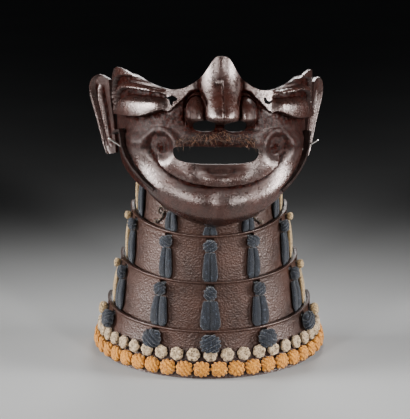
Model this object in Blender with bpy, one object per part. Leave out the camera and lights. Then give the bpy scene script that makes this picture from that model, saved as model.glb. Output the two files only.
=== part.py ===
"""A samurai face guard: an embossed iron half mask over a throat guard of four laced plates.

Metres, +Z up. The mask looks along -Y. The origin lies on the floor, in the middle of the part.
"""

import math

import bmesh
import bpy
from mathutils import Matrix, Vector

MM = 0.001

# The mask's bowl
MASK_WIDTH = 140.0 * MM  # outside, in front of the ears
MASK_DEPTH = 88.0 * MM  # from the ear line to the lips, without the nose
MASK_HEIGHT = 121.0 * MM  # from the edge under the chin to the peak of the nose
MASK_SINK = 12.5 * MM  # how far the bowl's base lies under the top of the throat guard
MASK_WALL = 2.0 * MM
MASK_SPAN = 95.0  # degrees from the nose round to each back edge
THICKEST_WALL = 2.0  # a steep stretch of wall is at most this many walls thick
FLANGE_DROP = 10.5 * MM  # height of the band under the chin
FLANGE_DROP_SIDE = 6.0 * MM  # the same at the sides
FLANGE_TURN_IN = 8.0 * MM  # how far the upper part of that band leans inwards
MASK_TURN = 4.0  # degrees that the mask sits turned on its throat guard, towards the viewer's right
MASK_ROLL = 1.2  # degrees that it leans down on that side
ROLL_ABOVE = 10.5 * MM  # height over the bowl's base of the point that it leans about
CENTRE_SHIFT = (0.00 * MM, 41.05 * MM)  # puts the middle of the whole part's box over the origin

# How far each form stands off the plain bowl
NOSE_REACH = 22.0 * MM
WING_REACH = 13.5 * MM
LIP_REACH = 5.0 * MM
ROLL_REACH = 4.5 * MM
STRIP_DROP = 3.0 * MM
CHEEK_REACH = 5.5 * MM
TERRACE_REACH = 2.6 * MM
FOLD_REACH = 3.2 * MM
HOLLOW_DROP = 2.6 * MM
PIT_DROP = 4.0 * MM

# Openings of the mask
MOUTH_WIDTH = 58.5 * MM
MOUTH_HEIGHT = 12.5 * MM
MOUTH_ASIDE = 3.0 * MM  # how far its middle lies towards the viewer's left
NOSTRIL_WIDTH = 15.5 * MM
NOSTRIL_HEIGHT = 8.5 * MM
NOSTRILS_ASIDE = 1.0 * MM  # how far both lie towards the viewer's left
CHEEK_HOLE_WIDTH = 10.0 * MM
CHEEK_HOLE_HEIGHT = 5.5 * MM

# Ears
EAR_HEIGHT = 54.0 * MM
EAR_SPREAD_LEFT = 13.0 * MM  # how far each ear stands out; the right one is bent closer
EAR_SPREAD_RIGHT = 8.0 * MM
EAR_DEPTH = 23.0 * MM
EAR_WALL = 2.2 * MM
EAR_FOLD = 2.2 * MM
EAR_CLIMB = 5.0 * MM  # how much higher the rim ends than the root
EAR_TURN = 86.0  # degrees round to the ear's root

# What keeps the helmet cord in place
HOOK_STAND = 4.5 * MM
HOOK_WALL = 1.8 * MM
HOOK_FOOT = 0.9 * MM  # free space under the plate, which follows the uneven jaw in straight runs
PEG_RADIUS = 0.8 * MM
PEG_LENGTH = 14.0 * MM
PEG_ROOT = 1.0 * MM  # how far it reaches past the thickest wall, inside

# Moustache
HAIR_THICK = 2.2 * MM
HAIR_LENGTH = 7.5 * MM
HAIR_ABOVE = 1.0 * MM  # from the mouth up to the first hairs
HAIR_ROOM = 0.65 * MM  # free space behind the hairs, which follow the uneven lip in straight runs

# The throat guard
GUARD_WIDTH = 166.0 * MM  # across the hem, outside
GUARD_DEPTH = 90.0 * MM  # from the ear line to the front of the hem
GUARD_HEIGHT = 117.0 * MM  # from the floor to the top of the first plate, in front
GUARD_TURN = 97.0  # degrees from the front round to each end of the plates
LAME_WALL = 1.6 * MM
LAME_OVERLAP = 8.0 * MM
LIP_TURN_OUT = 1.1 * MM
LIP_HEIGHT = 1.6 * MM
LACE_ROOM = 2.9 * MM  # free space between two plates, where the lace goes down

# Lacing
STRAND_THICK = 3.8 * MM
PAIR_WIDTH = 12.5 * MM
KNOT_WIDTH = 10.5 * MM
KNOT_THICK = 5.8 * MM
LAST_KNOT_WIDTH = 14.0 * MM
LAST_KNOT_THICK = 7.5 * MM
EDGE_WIDE = 0.68  # how narrow the two end columns are beside the others
EDGE_DEEP = 1.3  # how far their pairs stand out beside the others'
LINK_WIDTH = 5.0 * MM
LINK_THICK = 2.0 * MM
HOLE_ROOM = 0.45 * MM  # free space round the lace in its hole
BAND_TO_LACE = 2.4 * MM  # from the mask's band down to the first stretch of lace

# Rows of knots along the hem
HEM_KNOTS = 23
CREAM_WIDTH = 8.2 * MM
ORANGE_WIDTH = 10.0 * MM
CREAM_THICK = 4.6 * MM
ORANGE_THICK = 5.2 * MM
ORANGE_LEVEL = 7.0 * MM  # height of the orange row's middle over the floor

CLEARANCE = 0.35 * MM  # free space between two pieces that touch on the real thing
LEAST_RISE = 0.4 * MM  # the least height that a step of the skin counts as, for the wall's thickness

# Places that follow from the sizes above
MASK_BASE = GUARD_HEIGHT - MASK_SINK  # height of the bowl's base over the floor
ROLL_HEIGHT = MASK_BASE + ROLL_ABOVE
EAR_SPREADS = {-1: EAR_SPREAD_LEFT, 1: EAR_SPREAD_RIGHT}
MASK_COLUMNS = 40
MASK_ROWS = 22
LAME_COLUMNS = 24

# The upper outline of the mask: degrees round from the nose, share of the mask's height
TOP_EDGE = (
    (0.0, 1.000), (3.0, 0.990), (5.2, 0.962), (7.6, 0.920), (10.4, 0.880), (15.4, 0.838),
    (20.0, 0.812), (26.0, 0.798), (34.0, 0.800), (40.0, 0.811), (46.0, 0.828), (52.0, 0.847),
    (58.0, 0.867), (65.0, 0.880), (73.0, 0.880), (79.0, 0.858), (86.0, 0.800), (97.0, 0.775),
)

# The bowl's rows: climb, then shares of the height in front and at the side, of the width, of the depth
BOWL_ROWS = (
    (0.00, 0.087, 0.326, 0.950, 0.952),
    (0.11, 0.174, 0.376, 0.965, 0.985),
    (0.24, 0.269, 0.426, 0.975, 0.972),
    (0.36, 0.368, 0.475, 0.985, 0.984),
    (0.47, 0.450, 0.525, 0.990, 0.990),
    (0.58, 0.533, 0.574, 0.993, 0.992),
    (0.68, 0.607, 0.624, 1.000, 0.977),
    (0.78, 0.690, 0.690, 1.000, 0.938),
)
UPPER_CLIMB = BOWL_ROWS[-1][0]

# The bowl's depth above those rows: share of the height, share of the depth
UPPER_DEPTH = ((0.690, 0.938), (0.740, 0.905), (0.790, 0.875), (0.860, 0.845), (1.000, 0.815))

# The nose's ridge: share of the height, share of its reach, half its width as a share of the half mask
NOSE_RIDGE = (
    (0.600, 0.00, 0.090), (0.618, 0.14, 0.090), (0.640, 0.62, 0.095), (0.664, 0.93, 0.110),
    (0.690, 1.00, 0.135), (0.745, 0.86, 0.160), (0.820, 0.62, 0.150), (0.900, 0.48, 0.135),
    (1.000, 0.42, 0.130),
)
WING_PLACE = (0.222, 0.703)  # shares of the half width and of the height
WING_SIZE = (0.125, 0.098)

# The edge that runs from the nose down to its tip and on under the cheek pad
CHEEK_EDGE = (
    (0.16, 0.812), (0.21, 0.785), (0.30, 0.756), (0.42, 0.711), (0.545, 0.650), (0.60, 0.652),
    (0.66, 0.634), (0.77, 0.611), (0.90, 0.599), (1.00, 0.600),
)
PAD_TOP = 0.738
TERRACES = ((0.738, 0.772), (0.772, 0.815), (0.815, 0.846), (0.846, 0.900))
LIP_RING = (0.459, 0.632, 0.199)  # height of its middle, half width, drop
JAW_RING = (0.541, 0.897, 0.467)
MOUTH_TOP = 0.497
MOUTH_CORNER = 0.30  # how far down the opening's corners are, as a share of its height
NOSTRIL_PLACE = (0.151, 0.614)
CHEEK_HOLE_PLACE = (0.515, 0.735)
PIT_PLACE = (0.545, 0.480)
PIT_SIZE = (0.088, 0.058)
FOLD_PATH = ((0.690, 0.400), (0.680, 0.470), (0.640, 0.530), (0.540, 0.566), (0.420, 0.572), (0.340, 0.580))
FOLD_HALF = 0.050

# Plates from the top down: shares of the guard's height, half width and depth at the plate's
# upper rim, and how far the rim climbs towards its ends, as a share of the height
RIMS = (
    (1.000, 0.608, 0.716, 0.235),
    (0.839, 0.693, 0.763, 0.090),
    (0.568, 0.788, 0.847, 0.047),
    (0.284, 0.910, 0.930, 0.038),
    (0.000, 1.000, 1.000, 0.000),
)
LAMES = len(RIMS) - 1
LACE_TURNS = (-80.0, -67.5, -30.5, 0.0, 30.0, 63.5, 77.0)
CREAM_LACES = (1, 7)

# One stretch of lacing between two rims, from the hole to the next rim: share of the way down,
# then shares of the knot's or the pair's width and thickness
KNOT_RINGS = ((0.17, 0.55, 0.55), (0.25, 0.98, 0.96), (0.37, 0.92, 0.90))
PAIR_RINGS = ((0.46, 0.42, 0.62), (0.54, 0.78, 0.92), (0.78, 1.00, 1.00), (0.93, 0.88, 0.75))
# The first stretch starts below the mask's band: share of the way from there to the next rim
FIRST_RINGS = ((0.00, 0.60, 0.60), (0.45, 0.80, 0.95), (1.00, 0.66, 0.70))
LAST_RINGS = (
    (0.165, 0.50, 0.55), (0.19, 0.86, 0.90), (0.235, 1.00, 1.00), (0.28, 0.84, 0.86), (0.31, 0.42, 0.45),
)
FIRST_END = 0.92
RIM_SHARE = 0.05
EXIT_SHARE = 0.15
GROOVE = 0.30  # how deep the groove between the two strands is, as a share of their thickness

# The ear's outline from lobe to top: share of its height, share of its spread
EAR_ROWS = (
    (0.00, 0.40), (0.07, 0.54), (0.20, 0.66), (0.38, 0.80), (0.56, 0.92), (0.72, 1.00), (0.84, 0.96),
    (0.93, 0.82), (1.00, 0.55),
)
# Across the ear from its root to the rim: share of the way, share of the fold
EAR_FOLDS = ((0.00, 0.0), (0.18, -0.3), (0.36, 0.5), (0.54, -0.7), (0.70, 0.4), (0.84, -0.4), (1.00, 1.0))

# The hook's line on the jaw: degrees round, share of the mask's height, share of its stand
HOOK_LINE = (
    (80.0, 0.478, 0.90), (73.0, 0.502, 1.0), (66.5, 0.522, 1.0), (63.0, 0.490, 1.0), (60.5, 0.440, 0.95),
    (56.5, 0.380, 0.85), (51.0, 0.325, 0.70), (44.0, 0.270, 0.50), (37.0, 0.222, 0.30),
)
PEG_PLACE = (71.0, 0.405)  # degrees round, share of the mask's height
PEG_LEAN = (0.80, -0.25, 0.55)  # outwards, forwards and up


# How the names of all pieces and cutters of the mask begin
MASK_PIECES = ("mask", "mouth", "nostril", "cheek", "peg", "cord", "ear", "moustache")


def curve_through(points, x):
    """The height at x of a smooth curve through points, which are sorted by their first number."""
    if x <= points[0][0]:
        return points[0][1]
    if x >= points[-1][0]:
        return points[-1][1]
    k = next(i for i in range(1, len(points)) if x <= points[i][0])
    x0, y0, x1, y1 = *points[k - 1][:2], *points[k][:2]
    before = points[max(k - 2, 0)]
    after = points[min(k + 1, len(points) - 1)]
    width = x1 - x0
    slope0 = (y1 - before[1]) / (x1 - before[0]) * width
    slope1 = (after[1] - y0) / (after[0] - x0) * width
    s = (x - x0) / width
    return (
        y0 * (1 + 2 * s) * (1 - s) ** 2 + slope0 * s * (1 - s) ** 2
        + y1 * s * s * (3 - 2 * s) + slope1 * s * s * (s - 1)
    )


def column(table, number):
    """One column of a table beside its first column."""
    return [(row[0], row[number]) for row in table]


def step(low, high, x):
    """0 below low, 1 above high and smooth between them."""
    s = min(1.0, max(0.0, (x - low) / (high - low)))
    return s * s * (3 - 2 * s)


def rise(u):
    """How far a row of the bowl has climbed from its front to its side, at a share u of the half width."""
    return 1 - (1 - min(1.0, abs(u)) ** 1.6) ** 0.625


def distance_to(path, u, v):
    """The distance from (u, v) to a broken line of points."""
    here = Vector((u, v))
    best = 1.0
    for a, b in zip(path, path[1:]):
        a, b = Vector(a), Vector(b)
        share = min(1.0, max(0.0, (here - a).dot(b - a) / (b - a).length_squared))
        best = min(best, (a + (b - a) * share - here).length)
    return best


def ring_gap(ring, u, v):
    """How far (u, v) lies outside the lower half of an oval ring, as a share of the mask's height."""
    middle, half_width, drop = ring
    return (math.hypot(u / half_width, max(0.0, middle - v) / drop) - 1) * drop


def nose_relief(u, v):
    reach = curve_through(column(NOSE_RIDGE, 1), v) * NOSE_REACH
    half = curve_through(column(NOSE_RIDGE, 2), v)
    ridge = reach * math.exp(-1.1 * (u / half) ** 2.2)
    if v < NOSE_RIDGE[0][0]:
        ridge = 0.0
    off = math.hypot((u - WING_PLACE[0]) / WING_SIZE[0], (v - WING_PLACE[1]) / WING_SIZE[1])
    wing = WING_REACH * (1 - off * off) ** 0.55 if off < 1 else 0.0
    return max(ridge, wing)


def cheek_relief(u, v):
    edge = curve_through(CHEEK_EDGE, u)
    above = step(0.0, 0.014, v - edge)
    outer = step(0.52, 0.62, u)
    hollow = -HOLLOW_DROP * (1 - above) * step(0.16, 0.26, u) * step(0.575, 0.610, v) * (1 - outer)
    plain = 0.25 * CHEEK_REACH * above * (1 - outer) * step(0.18, 0.26, u)
    terraces = 0.0
    if v > PAD_TOP:
        low, high = next((pair for pair in TERRACES if v <= pair[1]), TERRACES[-1])
        share = min(1.0, (v - low) / (high - low))
        riser = TERRACES.index((low, high)) % 2 == 0
        terraces = TERRACE_REACH * (share if riser else 1 - share)
        terraces *= step(0.50, 0.62, u)
    pad = 0.0
    if edge < v <= PAD_TOP:
        share = (v - edge) / (PAD_TOP - edge)
        pad = CHEEK_REACH * min(1.0, share / 0.06) * (1 - share ** 2.2) ** 0.7 * (0.86 + 0.5 * share)
    return hollow + plain + terraces + pad * outer


def mouth_relief(u, v):
    inside_lip = -ring_gap(LIP_RING, u, v)
    inside_jaw = -ring_gap(JAW_RING, u, v)
    low = 1 - step(0.47, 0.58, v)
    near_middle = 0.45 + 0.55 * step(0.05, 0.28, u)
    lip = LIP_REACH * near_middle * min(1.0, max(0.0, inside_lip) / 0.012)
    lip *= 1 - 0.55 * step(0.05, 0.12, inside_lip)
    roll = 0.0
    if inside_lip < 0 < inside_jaw:
        share = inside_lip / (inside_lip - inside_jaw)
        roll = ROLL_REACH * math.sin(math.pi * share) ** 0.7
    strip = -STRIP_DROP * step(-0.002, 0.014, -inside_jaw) * (1 - step(0.50, 0.56, v))
    fold = FOLD_REACH * math.exp(-((distance_to(FOLD_PATH, u, v) / FOLD_HALF) ** 2))
    upper_lip = 0.35 * LIP_REACH * step(0.47, 0.53, v) * (1 - step(0.56, 0.60, v))
    upper_lip *= 1 - step(0.30, 0.46, u)
    pit = math.hypot((u - PIT_PLACE[0]) / PIT_SIZE[0], (v - PIT_PLACE[1]) / PIT_SIZE[1])
    return (lip + roll) * low + strip + fold + upper_lip - PIT_DROP * math.exp(-(pit ** 3))


def relief(u, v):
    """How far the skin stands off the plain bowl at shares u of the half width and v of the height."""
    u = abs(u)
    face = cheek_relief(u, v) * step(0.575, 0.60, v) + mouth_relief(u, v) * (1 - step(0.59, 0.62, v))
    face *= 1 - step(0.955, 0.995, u)
    nose = nose_relief(u, v)
    return face + nose if nose > 0 and u < 0.12 else max(face, nose)


def bowl_row(turn, climb):
    """Shares of the height, the width and the depth of the bowl, at an angle and a climb from 0 to 1."""
    side = rise(math.sin(math.radians(min(90.0, abs(turn)))))
    known = min(climb, UPPER_CLIMB)
    front, flank, width, depth = (curve_through(column(BOWL_ROWS, k), known) for k in (1, 2, 3, 4))
    height = front + (flank - front) * side
    if climb > UPPER_CLIMB:
        top = curve_through(TOP_EDGE, abs(turn))
        height += (top - height) * (climb - UPPER_CLIMB) / (1 - UPPER_CLIMB)
        depth = curve_through(UPPER_DEPTH, max(height, UPPER_DEPTH[0][0]))
    return height, width, depth


def skin(turn, climb, lift=0.0):
    """A point of the mask's outer skin, and the direction out of it."""
    angle = math.radians(turn)
    height, width, depth = bowl_row(turn, climb)
    across = MASK_WIDTH / 2 * width
    ahead = MASK_DEPTH * depth
    out = Vector((ahead * math.sin(angle), -across * math.cos(angle), 0)).normalized()
    point = Vector((across * math.sin(angle), -ahead * math.cos(angle), MASK_BASE + height * MASK_HEIGHT))
    point += out * (relief(point.x / (MASK_WIDTH / 2), height) + lift)
    return point, out


def mask_place():
    """Where the mask sits on its throat guard."""
    turned = Matrix.Rotation(math.radians(MASK_TURN), 4, "Z")
    turned @= Matrix.Rotation(math.radians(MASK_ROLL), 4, "Y")
    pivot = Vector((0, 0, ROLL_HEIGHT))
    return Matrix.Translation(pivot - turned @ pivot) @ turned


def band_end(turn):
    """The height where the band under the chin meets the first plate of the throat guard."""
    side = rise(math.sin(math.radians(min(90.0, abs(turn)))))
    return skin(turn, 0.0)[0].z - FLANGE_DROP + (FLANGE_DROP - FLANGE_DROP_SIDE) * side


def band_rows(turn):
    """The band's outer and inner points from its end on the first plate up to the chin's edge."""
    edge, out = skin(turn, 0.0)
    low = band_end(turn)
    guard_turn = turn + MASK_TURN
    share = guard_share(0, guard_turn, low)
    back = mask_place().inverted()
    inner = back @ lame_surface(0, guard_turn, share, CLEARANCE)
    outer = back @ lame_surface(0, guard_turn, share, CLEARANCE + MASK_WALL * THICKEST_WALL)
    bend = edge - out * FLANGE_TURN_IN
    bend.z = low + 0.35 * (edge.z - low)
    return [outer, bend], [inner, bend - out * MASK_WALL * THICKEST_WALL]


def steepness(turn, climb):
    """How much thicker the wall is along its outward direction than across, where the skin is steep."""
    near = 0.02
    here, out = skin(turn, climb)
    up = skin(turn, min(1.0, climb + near))[0] - here
    down = here - skin(turn, max(0.0, climb - near))[0]
    ways = [way for way in (up, down) if way.length > 1e-7]
    worst = max(abs(way.dot(out)) / max(abs(way.z), LEAST_RISE) for way in ways)
    return min(THICKEST_WALL, math.hypot(1.0, worst))


def climb_at(turn, height):
    """The climb where the skin at this angle has that share of the mask's height."""
    low, high = 0.0, 1.0
    for _ in range(24):
        middle = (low + high) / 2
        if bowl_row(turn, middle)[0] < height:
            low = middle
        else:
            high = middle
    return (low + high) / 2


def mask_turns():
    """The angles of the mask's slices, close together at the nose and wider at the sides."""
    shares = [2 * i / MASK_COLUMNS - 1 for i in range(MASK_COLUMNS + 1)]
    return [MASK_SPAN * (0.75 * s + 0.25 * s ** 3) for s in shares]


def material(name, colour, roughness, metallic=0.0):
    made = bpy.data.materials.new(name)
    made.use_nodes = True
    shader = made.node_tree.nodes["Principled BSDF"]
    shader.inputs["Base Color"].default_value = (*colour, 1.0)
    shader.inputs["Roughness"].default_value = roughness
    shader.inputs["Metallic"].default_value = metallic
    return made


def add_object(name, mesh, finish, collection):
    made = bpy.data.objects.new(name, mesh)
    made.data.materials.append(finish)
    collection.objects.link(made)
    return made


def loft(name, slices, finish, collection, smooth=True):
    """A closed solid through slices, which are closed outlines with the same even number of points."""
    work = bmesh.new()
    rings = [[work.verts.new(point) for point in outline] for outline in slices]
    count = len(rings[0])
    for ring, following in zip(rings, rings[1:]):
        for k in range(count):
            after = (k + 1) % count
            work.faces.new((ring[k], ring[after], following[after], following[k]))
    for ring in (rings[0], rings[-1]):
        for k in range(count // 2 - 1):
            work.faces.new((ring[k], ring[k + 1], ring[count - 2 - k], ring[count - 1 - k]))
    bmesh.ops.recalc_face_normals(work, faces=work.faces)
    mesh = bpy.data.meshes.new(name)
    work.to_mesh(mesh)
    work.free()
    if smooth:
        mesh.shade_smooth()
        mesh.set_sharp_from_angle(angle=math.radians(40))
    return add_object(name, mesh, finish, collection)


def cut(target, cutter):
    """Takes the cutter away from the target, and hides the cutter."""
    cutter.hide_render = True
    cutter.display_type = "WIRE"
    made = target.modifiers.new("cut_" + cutter.name, "BOOLEAN")
    made.operation = "DIFFERENCE"
    made.object = cutter


def prism(name, outline, back, front, finish, collection):
    """A cutter that runs along Y behind an outline of (x, z) points."""
    slices = [[Vector((x, y, z)) for x, z in outline] for y in (back, front)]
    return loft(name, slices, finish, collection, smooth=False)


def mouth_outline(points=16):
    """Nearly straight above and rounded below, from corner to corner."""
    top = MASK_BASE + MOUTH_TOP * MASK_HEIGHT
    corner = top - MOUTH_CORNER * MOUTH_HEIGHT
    outline = []
    for i in range(2 * points):
        t = math.pi * (i + 0.5) / points
        across = math.copysign(abs(math.cos(t)) ** 0.55, math.cos(t)) * MOUTH_WIDTH / 2
        room = top - corner if math.sin(t) > 0 else corner - (top - MOUTH_HEIGHT)
        up = math.copysign(abs(math.sin(t)) ** 0.6, math.sin(t)) * room
        outline.append((across - MOUTH_ASIDE, corner + up))
    return outline


def oval_outline(place, width, height, points=10, power=1.0):
    """An oval at shares of the half width and the height. A power under 1 makes it squarer."""
    middle_x = place[0] * MASK_WIDTH / 2
    middle_z = MASK_BASE + place[1] * MASK_HEIGHT
    outline = []
    for i in range(points):
        t = 2 * math.pi * (i + 0.5) / points
        across = math.copysign(abs(math.cos(t)) ** power, math.cos(t))
        up = math.copysign(abs(math.sin(t)) ** power, math.sin(t))
        outline.append((middle_x + width / 2 * across, middle_z + height / 2 * up))
    return outline


def mirrored(outline):
    return [(-x, z) for x, z in reversed(outline)]


def make_mask(finish, parts, cutters):
    """The bowl: a wall lofted round the face from slices that run from the chin to the upper edge."""
    slices = []
    for turn in mask_turns():
        outer, inner = band_rows(turn)
        for row in range(MASK_ROWS + 1):
            climb = row / MASK_ROWS
            point, out = skin(turn, climb)
            outer.append(point)
            inner.append(point - out * MASK_WALL * steepness(turn, climb))
        slices.append(outer + inner[::-1])
    mask = loft("mask_bowl", slices, finish, parts)
    front = -(MASK_DEPTH + NOSE_REACH + WING_REACH)
    behind = -MASK_DEPTH * 0.55
    outlines = {"mouth": mouth_outline()}
    nostril = oval_outline(NOSTRIL_PLACE, NOSTRIL_WIDTH, NOSTRIL_HEIGHT, power=0.7)
    hole = oval_outline(CHEEK_HOLE_PLACE, CHEEK_HOLE_WIDTH, CHEEK_HOLE_HEIGHT, points=8)
    for name, outline in (("nostril", nostril), ("cheek_hole", hole)):
        aside = NOSTRILS_ASIDE if name == "nostril" else 0.0
        outlines[name + "_right"] = [(x - aside, z) for x, z in outline]
        outlines[name + "_left"] = [(x - aside, z) for x, z in mirrored(outline)]
    for name, outline in outlines.items():
        shallow = -MASK_DEPTH * 0.35 if name.startswith("cheek") else behind
        cut(mask, prism(name + "_cutter", outline, shallow, front, finish, cutters))
    return mask


def peg_axis(side):
    """The foot of a peg on the mask's skin and its direction, on side -1 or 1."""
    turn, height = PEG_PLACE
    foot, _ = skin(side * turn, climb_at(turn, height))
    lean = Vector((side * PEG_LEAN[0], PEG_LEAN[1], PEG_LEAN[2])).normalized()
    return foot, lean


def rod(name, start, end, radius, finish, collection, sides=8):
    """A straight round bar from start to end."""
    along = (end - start).normalized()
    across = along.cross(Vector((0, 0, 1))).normalized()
    second = along.cross(across)
    turns = [2 * math.pi * i / sides for i in range(sides)]
    slices = [
        [middle + radius * (math.cos(t) * across + math.sin(t) * second) for t in turns]
        for middle in (start, end)
    ]
    return loft(name, slices, finish, collection, smooth=False)


def make_pegs(mask, finish, parts, cutters):
    """A bright peg on each side of the jaw, set in a hole through the wall."""
    for name, side in (("left", -1), ("right", 1)):
        foot, lean = peg_axis(side)
        root = foot - lean * (MASK_WALL * THICKEST_WALL + PEG_ROOT)
        rod("cord_peg_" + name, root, foot + lean * PEG_LENGTH, PEG_RADIUS, finish, parts)
        deep = foot - lean * MASK_WALL * 4
        middle = foot + lean * PEG_LENGTH / 2
        hole = rod("peg_hole_" + name, deep, middle, PEG_RADIUS + CLEARANCE, finish, cutters)
        cut(mask, hole)


def make_hooks(finish, parts):
    """The black plate that stands along each jaw and turns back at its upper end."""
    for name, side in (("left", -1), ("right", 1)):
        feet = [skin(side * turn, climb_at(turn, height), HOOK_FOOT) for turn, height, _ in HOOK_LINE]
        slices = []
        for k, (foot, out) in enumerate(feet):
            before = feet[max(k - 1, 0)][0]
            after = feet[min(k + 1, len(feet) - 1)][0]
            along = (after - before).normalized()
            across = along.cross(out).normalized() * HOOK_WALL / 2
            top = foot + out * HOOK_STAND * HOOK_LINE[k][2]
            slices.append([foot - across, foot + across, top + across, top - across])
        loft("cord_hook_" + name, slices, finish, parts, smooth=False)


def make_ears(finish, parts):
    """Each ear is a folded plate that starts against the side of the bowl and flares out behind it."""
    for name, side in (("left", -1), ("right", 1)):
        slices = []
        for share, spread in EAR_ROWS:
            level = MASK_BASE + 0.345 * MASK_HEIGHT + share * EAR_HEIGHT
            height = min((level - MASK_BASE) / MASK_HEIGHT, curve_through(TOP_EDGE, EAR_TURN))
            height = max(height, bowl_row(EAR_TURN, 0.0)[0])
            root, _ = skin(side * EAR_TURN, climb_at(EAR_TURN, height), CLEARANCE + EAR_WALL / 2)
            root.z = level
            stand = EAR_SPREADS[side]
            way = Vector((side * stand * spread, EAR_DEPTH * spread, 0))
            across = Vector((side * EAR_DEPTH, -stand, 0)).normalized()
            front, back = [], []
            for along, fold in EAR_FOLDS:
                middle = root + way * along + across * EAR_FOLD * fold * spread
                middle.z += EAR_CLIMB * along * (share - 0.5)
                front.append(middle + across * EAR_WALL / 2)
                back.append(middle - across * EAR_WALL / 2)
            slices.append(front + back[::-1])
        loft("ear_" + name, slices, finish, parts)


def make_moustache(finish, parts):
    """Bristles over the mouth: a strip of locks on the upper lip, on the mask's own slices."""
    half = MOUTH_WIDTH / 2
    level = MOUTH_TOP + HAIR_ABOVE / MASK_HEIGHT
    high = level + HAIR_LENGTH / MASK_HEIGHT
    slices = []
    for k, turn in enumerate(t for t in mask_turns() if abs(skin(t, 0.6)[0].x) < half):
        ragged = 0.25 if k % 2 else 0.0
        low = level + ragged * (high - level)
        climbs = [climb_at(turn, low + (high - low) * i / 3) for i in range(4)]
        feet = [skin(turn, climb, HAIR_ROOM) for climb in climbs]
        back = [foot for foot, _ in feet]
        thick = [0.5, 1.0, 0.8, 0.3]
        front = [foot + out * HAIR_THICK * share for (foot, out), share in zip(feet, thick)]
        slices.append(back + front[::-1])
    loft("moustache", slices, finish, parts)


def rim_shape(number):
    """Half width, depth, height in front and climb at the ends of a rim, in metres."""
    height, width, depth, climb = RIMS[number]
    return GUARD_WIDTH / 2 * width, GUARD_DEPTH * depth, GUARD_HEIGHT * height, GUARD_HEIGHT * climb


def lame_surface(number, turn, share, lift=0.0):
    """A point of a plate's outer face: share 0 is at its upper rim and 1 at the next rim's height."""
    wide, deep, high, climb = rim_shape(number)
    next_wide, next_deep, next_high, next_climb = rim_shape(number + 1)
    if number + 1 < LAMES:
        next_wide -= LAME_WALL + LACE_ROOM
        next_deep -= LAME_WALL + LACE_ROOM
    angle = math.radians(turn)
    side = 1 - math.cos(min(math.pi / 2, abs(angle)))
    top = high + climb * side
    low = next_high + next_climb * side
    width = wide + (next_wide - wide) * share + lift
    depth = deep + (next_deep - deep) * share + lift
    return Vector((width * math.sin(angle), -depth * math.cos(angle), top + (low - top) * share))


def guard_share(number, turn, level):
    """The share of the way down a plate at this height over the floor."""
    high = lame_surface(number, turn, 0.0).z
    return (high - level) / (high - lame_surface(number, turn, 1.0).z)


def lame_share(number, turn, drop):
    """The share of the way down a plate that lies this far below its rim."""
    span = lame_surface(number, turn, 0.0).z - lame_surface(number, turn, 1.0).z
    return drop / span


def make_lames(finish, parts, cutters):
    """Four curved plates. All but the first, which goes up behind the chin, have a turned-out lip
    along the upper edge and holes for the laces."""
    for number in range(LAMES):
        last = number == LAMES - 1
        turned_out = LIP_TURN_OUT if number else 0.0
        slices = []
        for i in range(LAME_COLUMNS + 1):
            turn = GUARD_TURN * (2 * i / LAME_COLUMNS - 1)
            bottom = 1.0 if last else 1.0 + lame_share(number, turn, LAME_OVERLAP)
            lip = lame_share(number, turn, LIP_HEIGHT)
            outline = [
                lame_surface(number, turn, bottom),
                lame_surface(number, turn, bottom / 2),
                lame_surface(number, turn, lip * 1.6),
                lame_surface(number, turn, lip, turned_out),
                lame_surface(number, turn, 0.0, turned_out),
                lame_surface(number, turn, 0.0, -LAME_WALL),
                lame_surface(number, turn, bottom / 2, -LAME_WALL),
                lame_surface(number, turn, bottom, -LAME_WALL),
            ]
            slices.append(outline)
        lame = loft(f"lame_{number + 1}", slices, finish, parts)
        if number:
            for index, turn in enumerate(LACE_TURNS):
                cut(lame, lace_hole(number, index, turn, finish, cutters))


def exit_slope(number, turn):
    """Where the lace goes through a plate: the shares at which it leaves the back and reaches the front."""
    drop = lame_surface(number, turn, 0.0).z - lame_surface(number, turn, 1.0).z
    return lame_share(number, turn, RIM_SHARE * drop), lame_share(number, turn, EXIT_SHARE * drop)


def lace_hole(number, index, turn, finish, cutters):
    """A square cutter through a plate just below its rim, square to the plate."""
    start, end = exit_slope(number, turn)
    way = (end - start) * (LAME_WALL + LINK_THICK) / (LAME_WALL + LINK_THICK + LACE_ROOM)
    middle = (start + end) / 2 + 0.01
    high = middle - way / 2 - lame_share(number, turn, HOLE_ROOM * 2)
    low = middle + way / 2 + lame_share(number, turn, HOLE_ROOM * 2)
    angle = math.radians(turn)
    wide, deep, _, _ = rim_shape(number)
    along = Vector((wide * math.cos(angle), deep * math.sin(angle), 0)).normalized()
    half = along * (LINK_WIDTH / 2 + HOLE_ROOM)
    slices = []
    for lift in (-LAME_WALL * 2.2, LIP_TURN_OUT * 2):
        upper = lame_surface(number, turn, high, lift)
        lower = lame_surface(number, turn, low, lift)
        slices.append([upper - half, lower - half, lower + half, upper + half])
    return loft(f"lace_hole_{number + 1}_{index + 1}", slices, finish, cutters, smooth=False)


def lace_ring(number, turn, share, middle_lift, width, thick, groove, sides=6):
    """One cross-section of a lace: a flat oval, pinched in the middle where it is two strands."""
    middle = lame_surface(number, turn, share, middle_lift)
    angle = math.radians(turn)
    wide, deep, _, _ = rim_shape(number)
    along = Vector((wide * math.cos(angle), deep * math.sin(angle), 0)).normalized()
    out = Vector((along.y, -along.x, 0))
    ring = []
    for k in range(sides):
        t = 2 * math.pi * (k + 0.5) / sides
        pinch = 1 - groove if abs(math.cos(t)) < 0.1 and math.sin(t) > 0 else 1.0
        across = width / 2 * math.cos(t) / math.cos(math.pi / sides)
        ring.append(middle + along * across + out * thick / 2 * math.sin(t) * pinch)
    return ring


def lace_stretch(number, turn, rings, width, thick, groove):
    """Sections on a plate's face, from rings of (share of the way, of the width, of the thickness)."""
    made = []
    for share, wide, deep in rings:
        size = thick * deep
        made.append(lace_ring(number, turn, share, CLEARANCE + size / 2, width * wide, size, groove))
    return made


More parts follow.
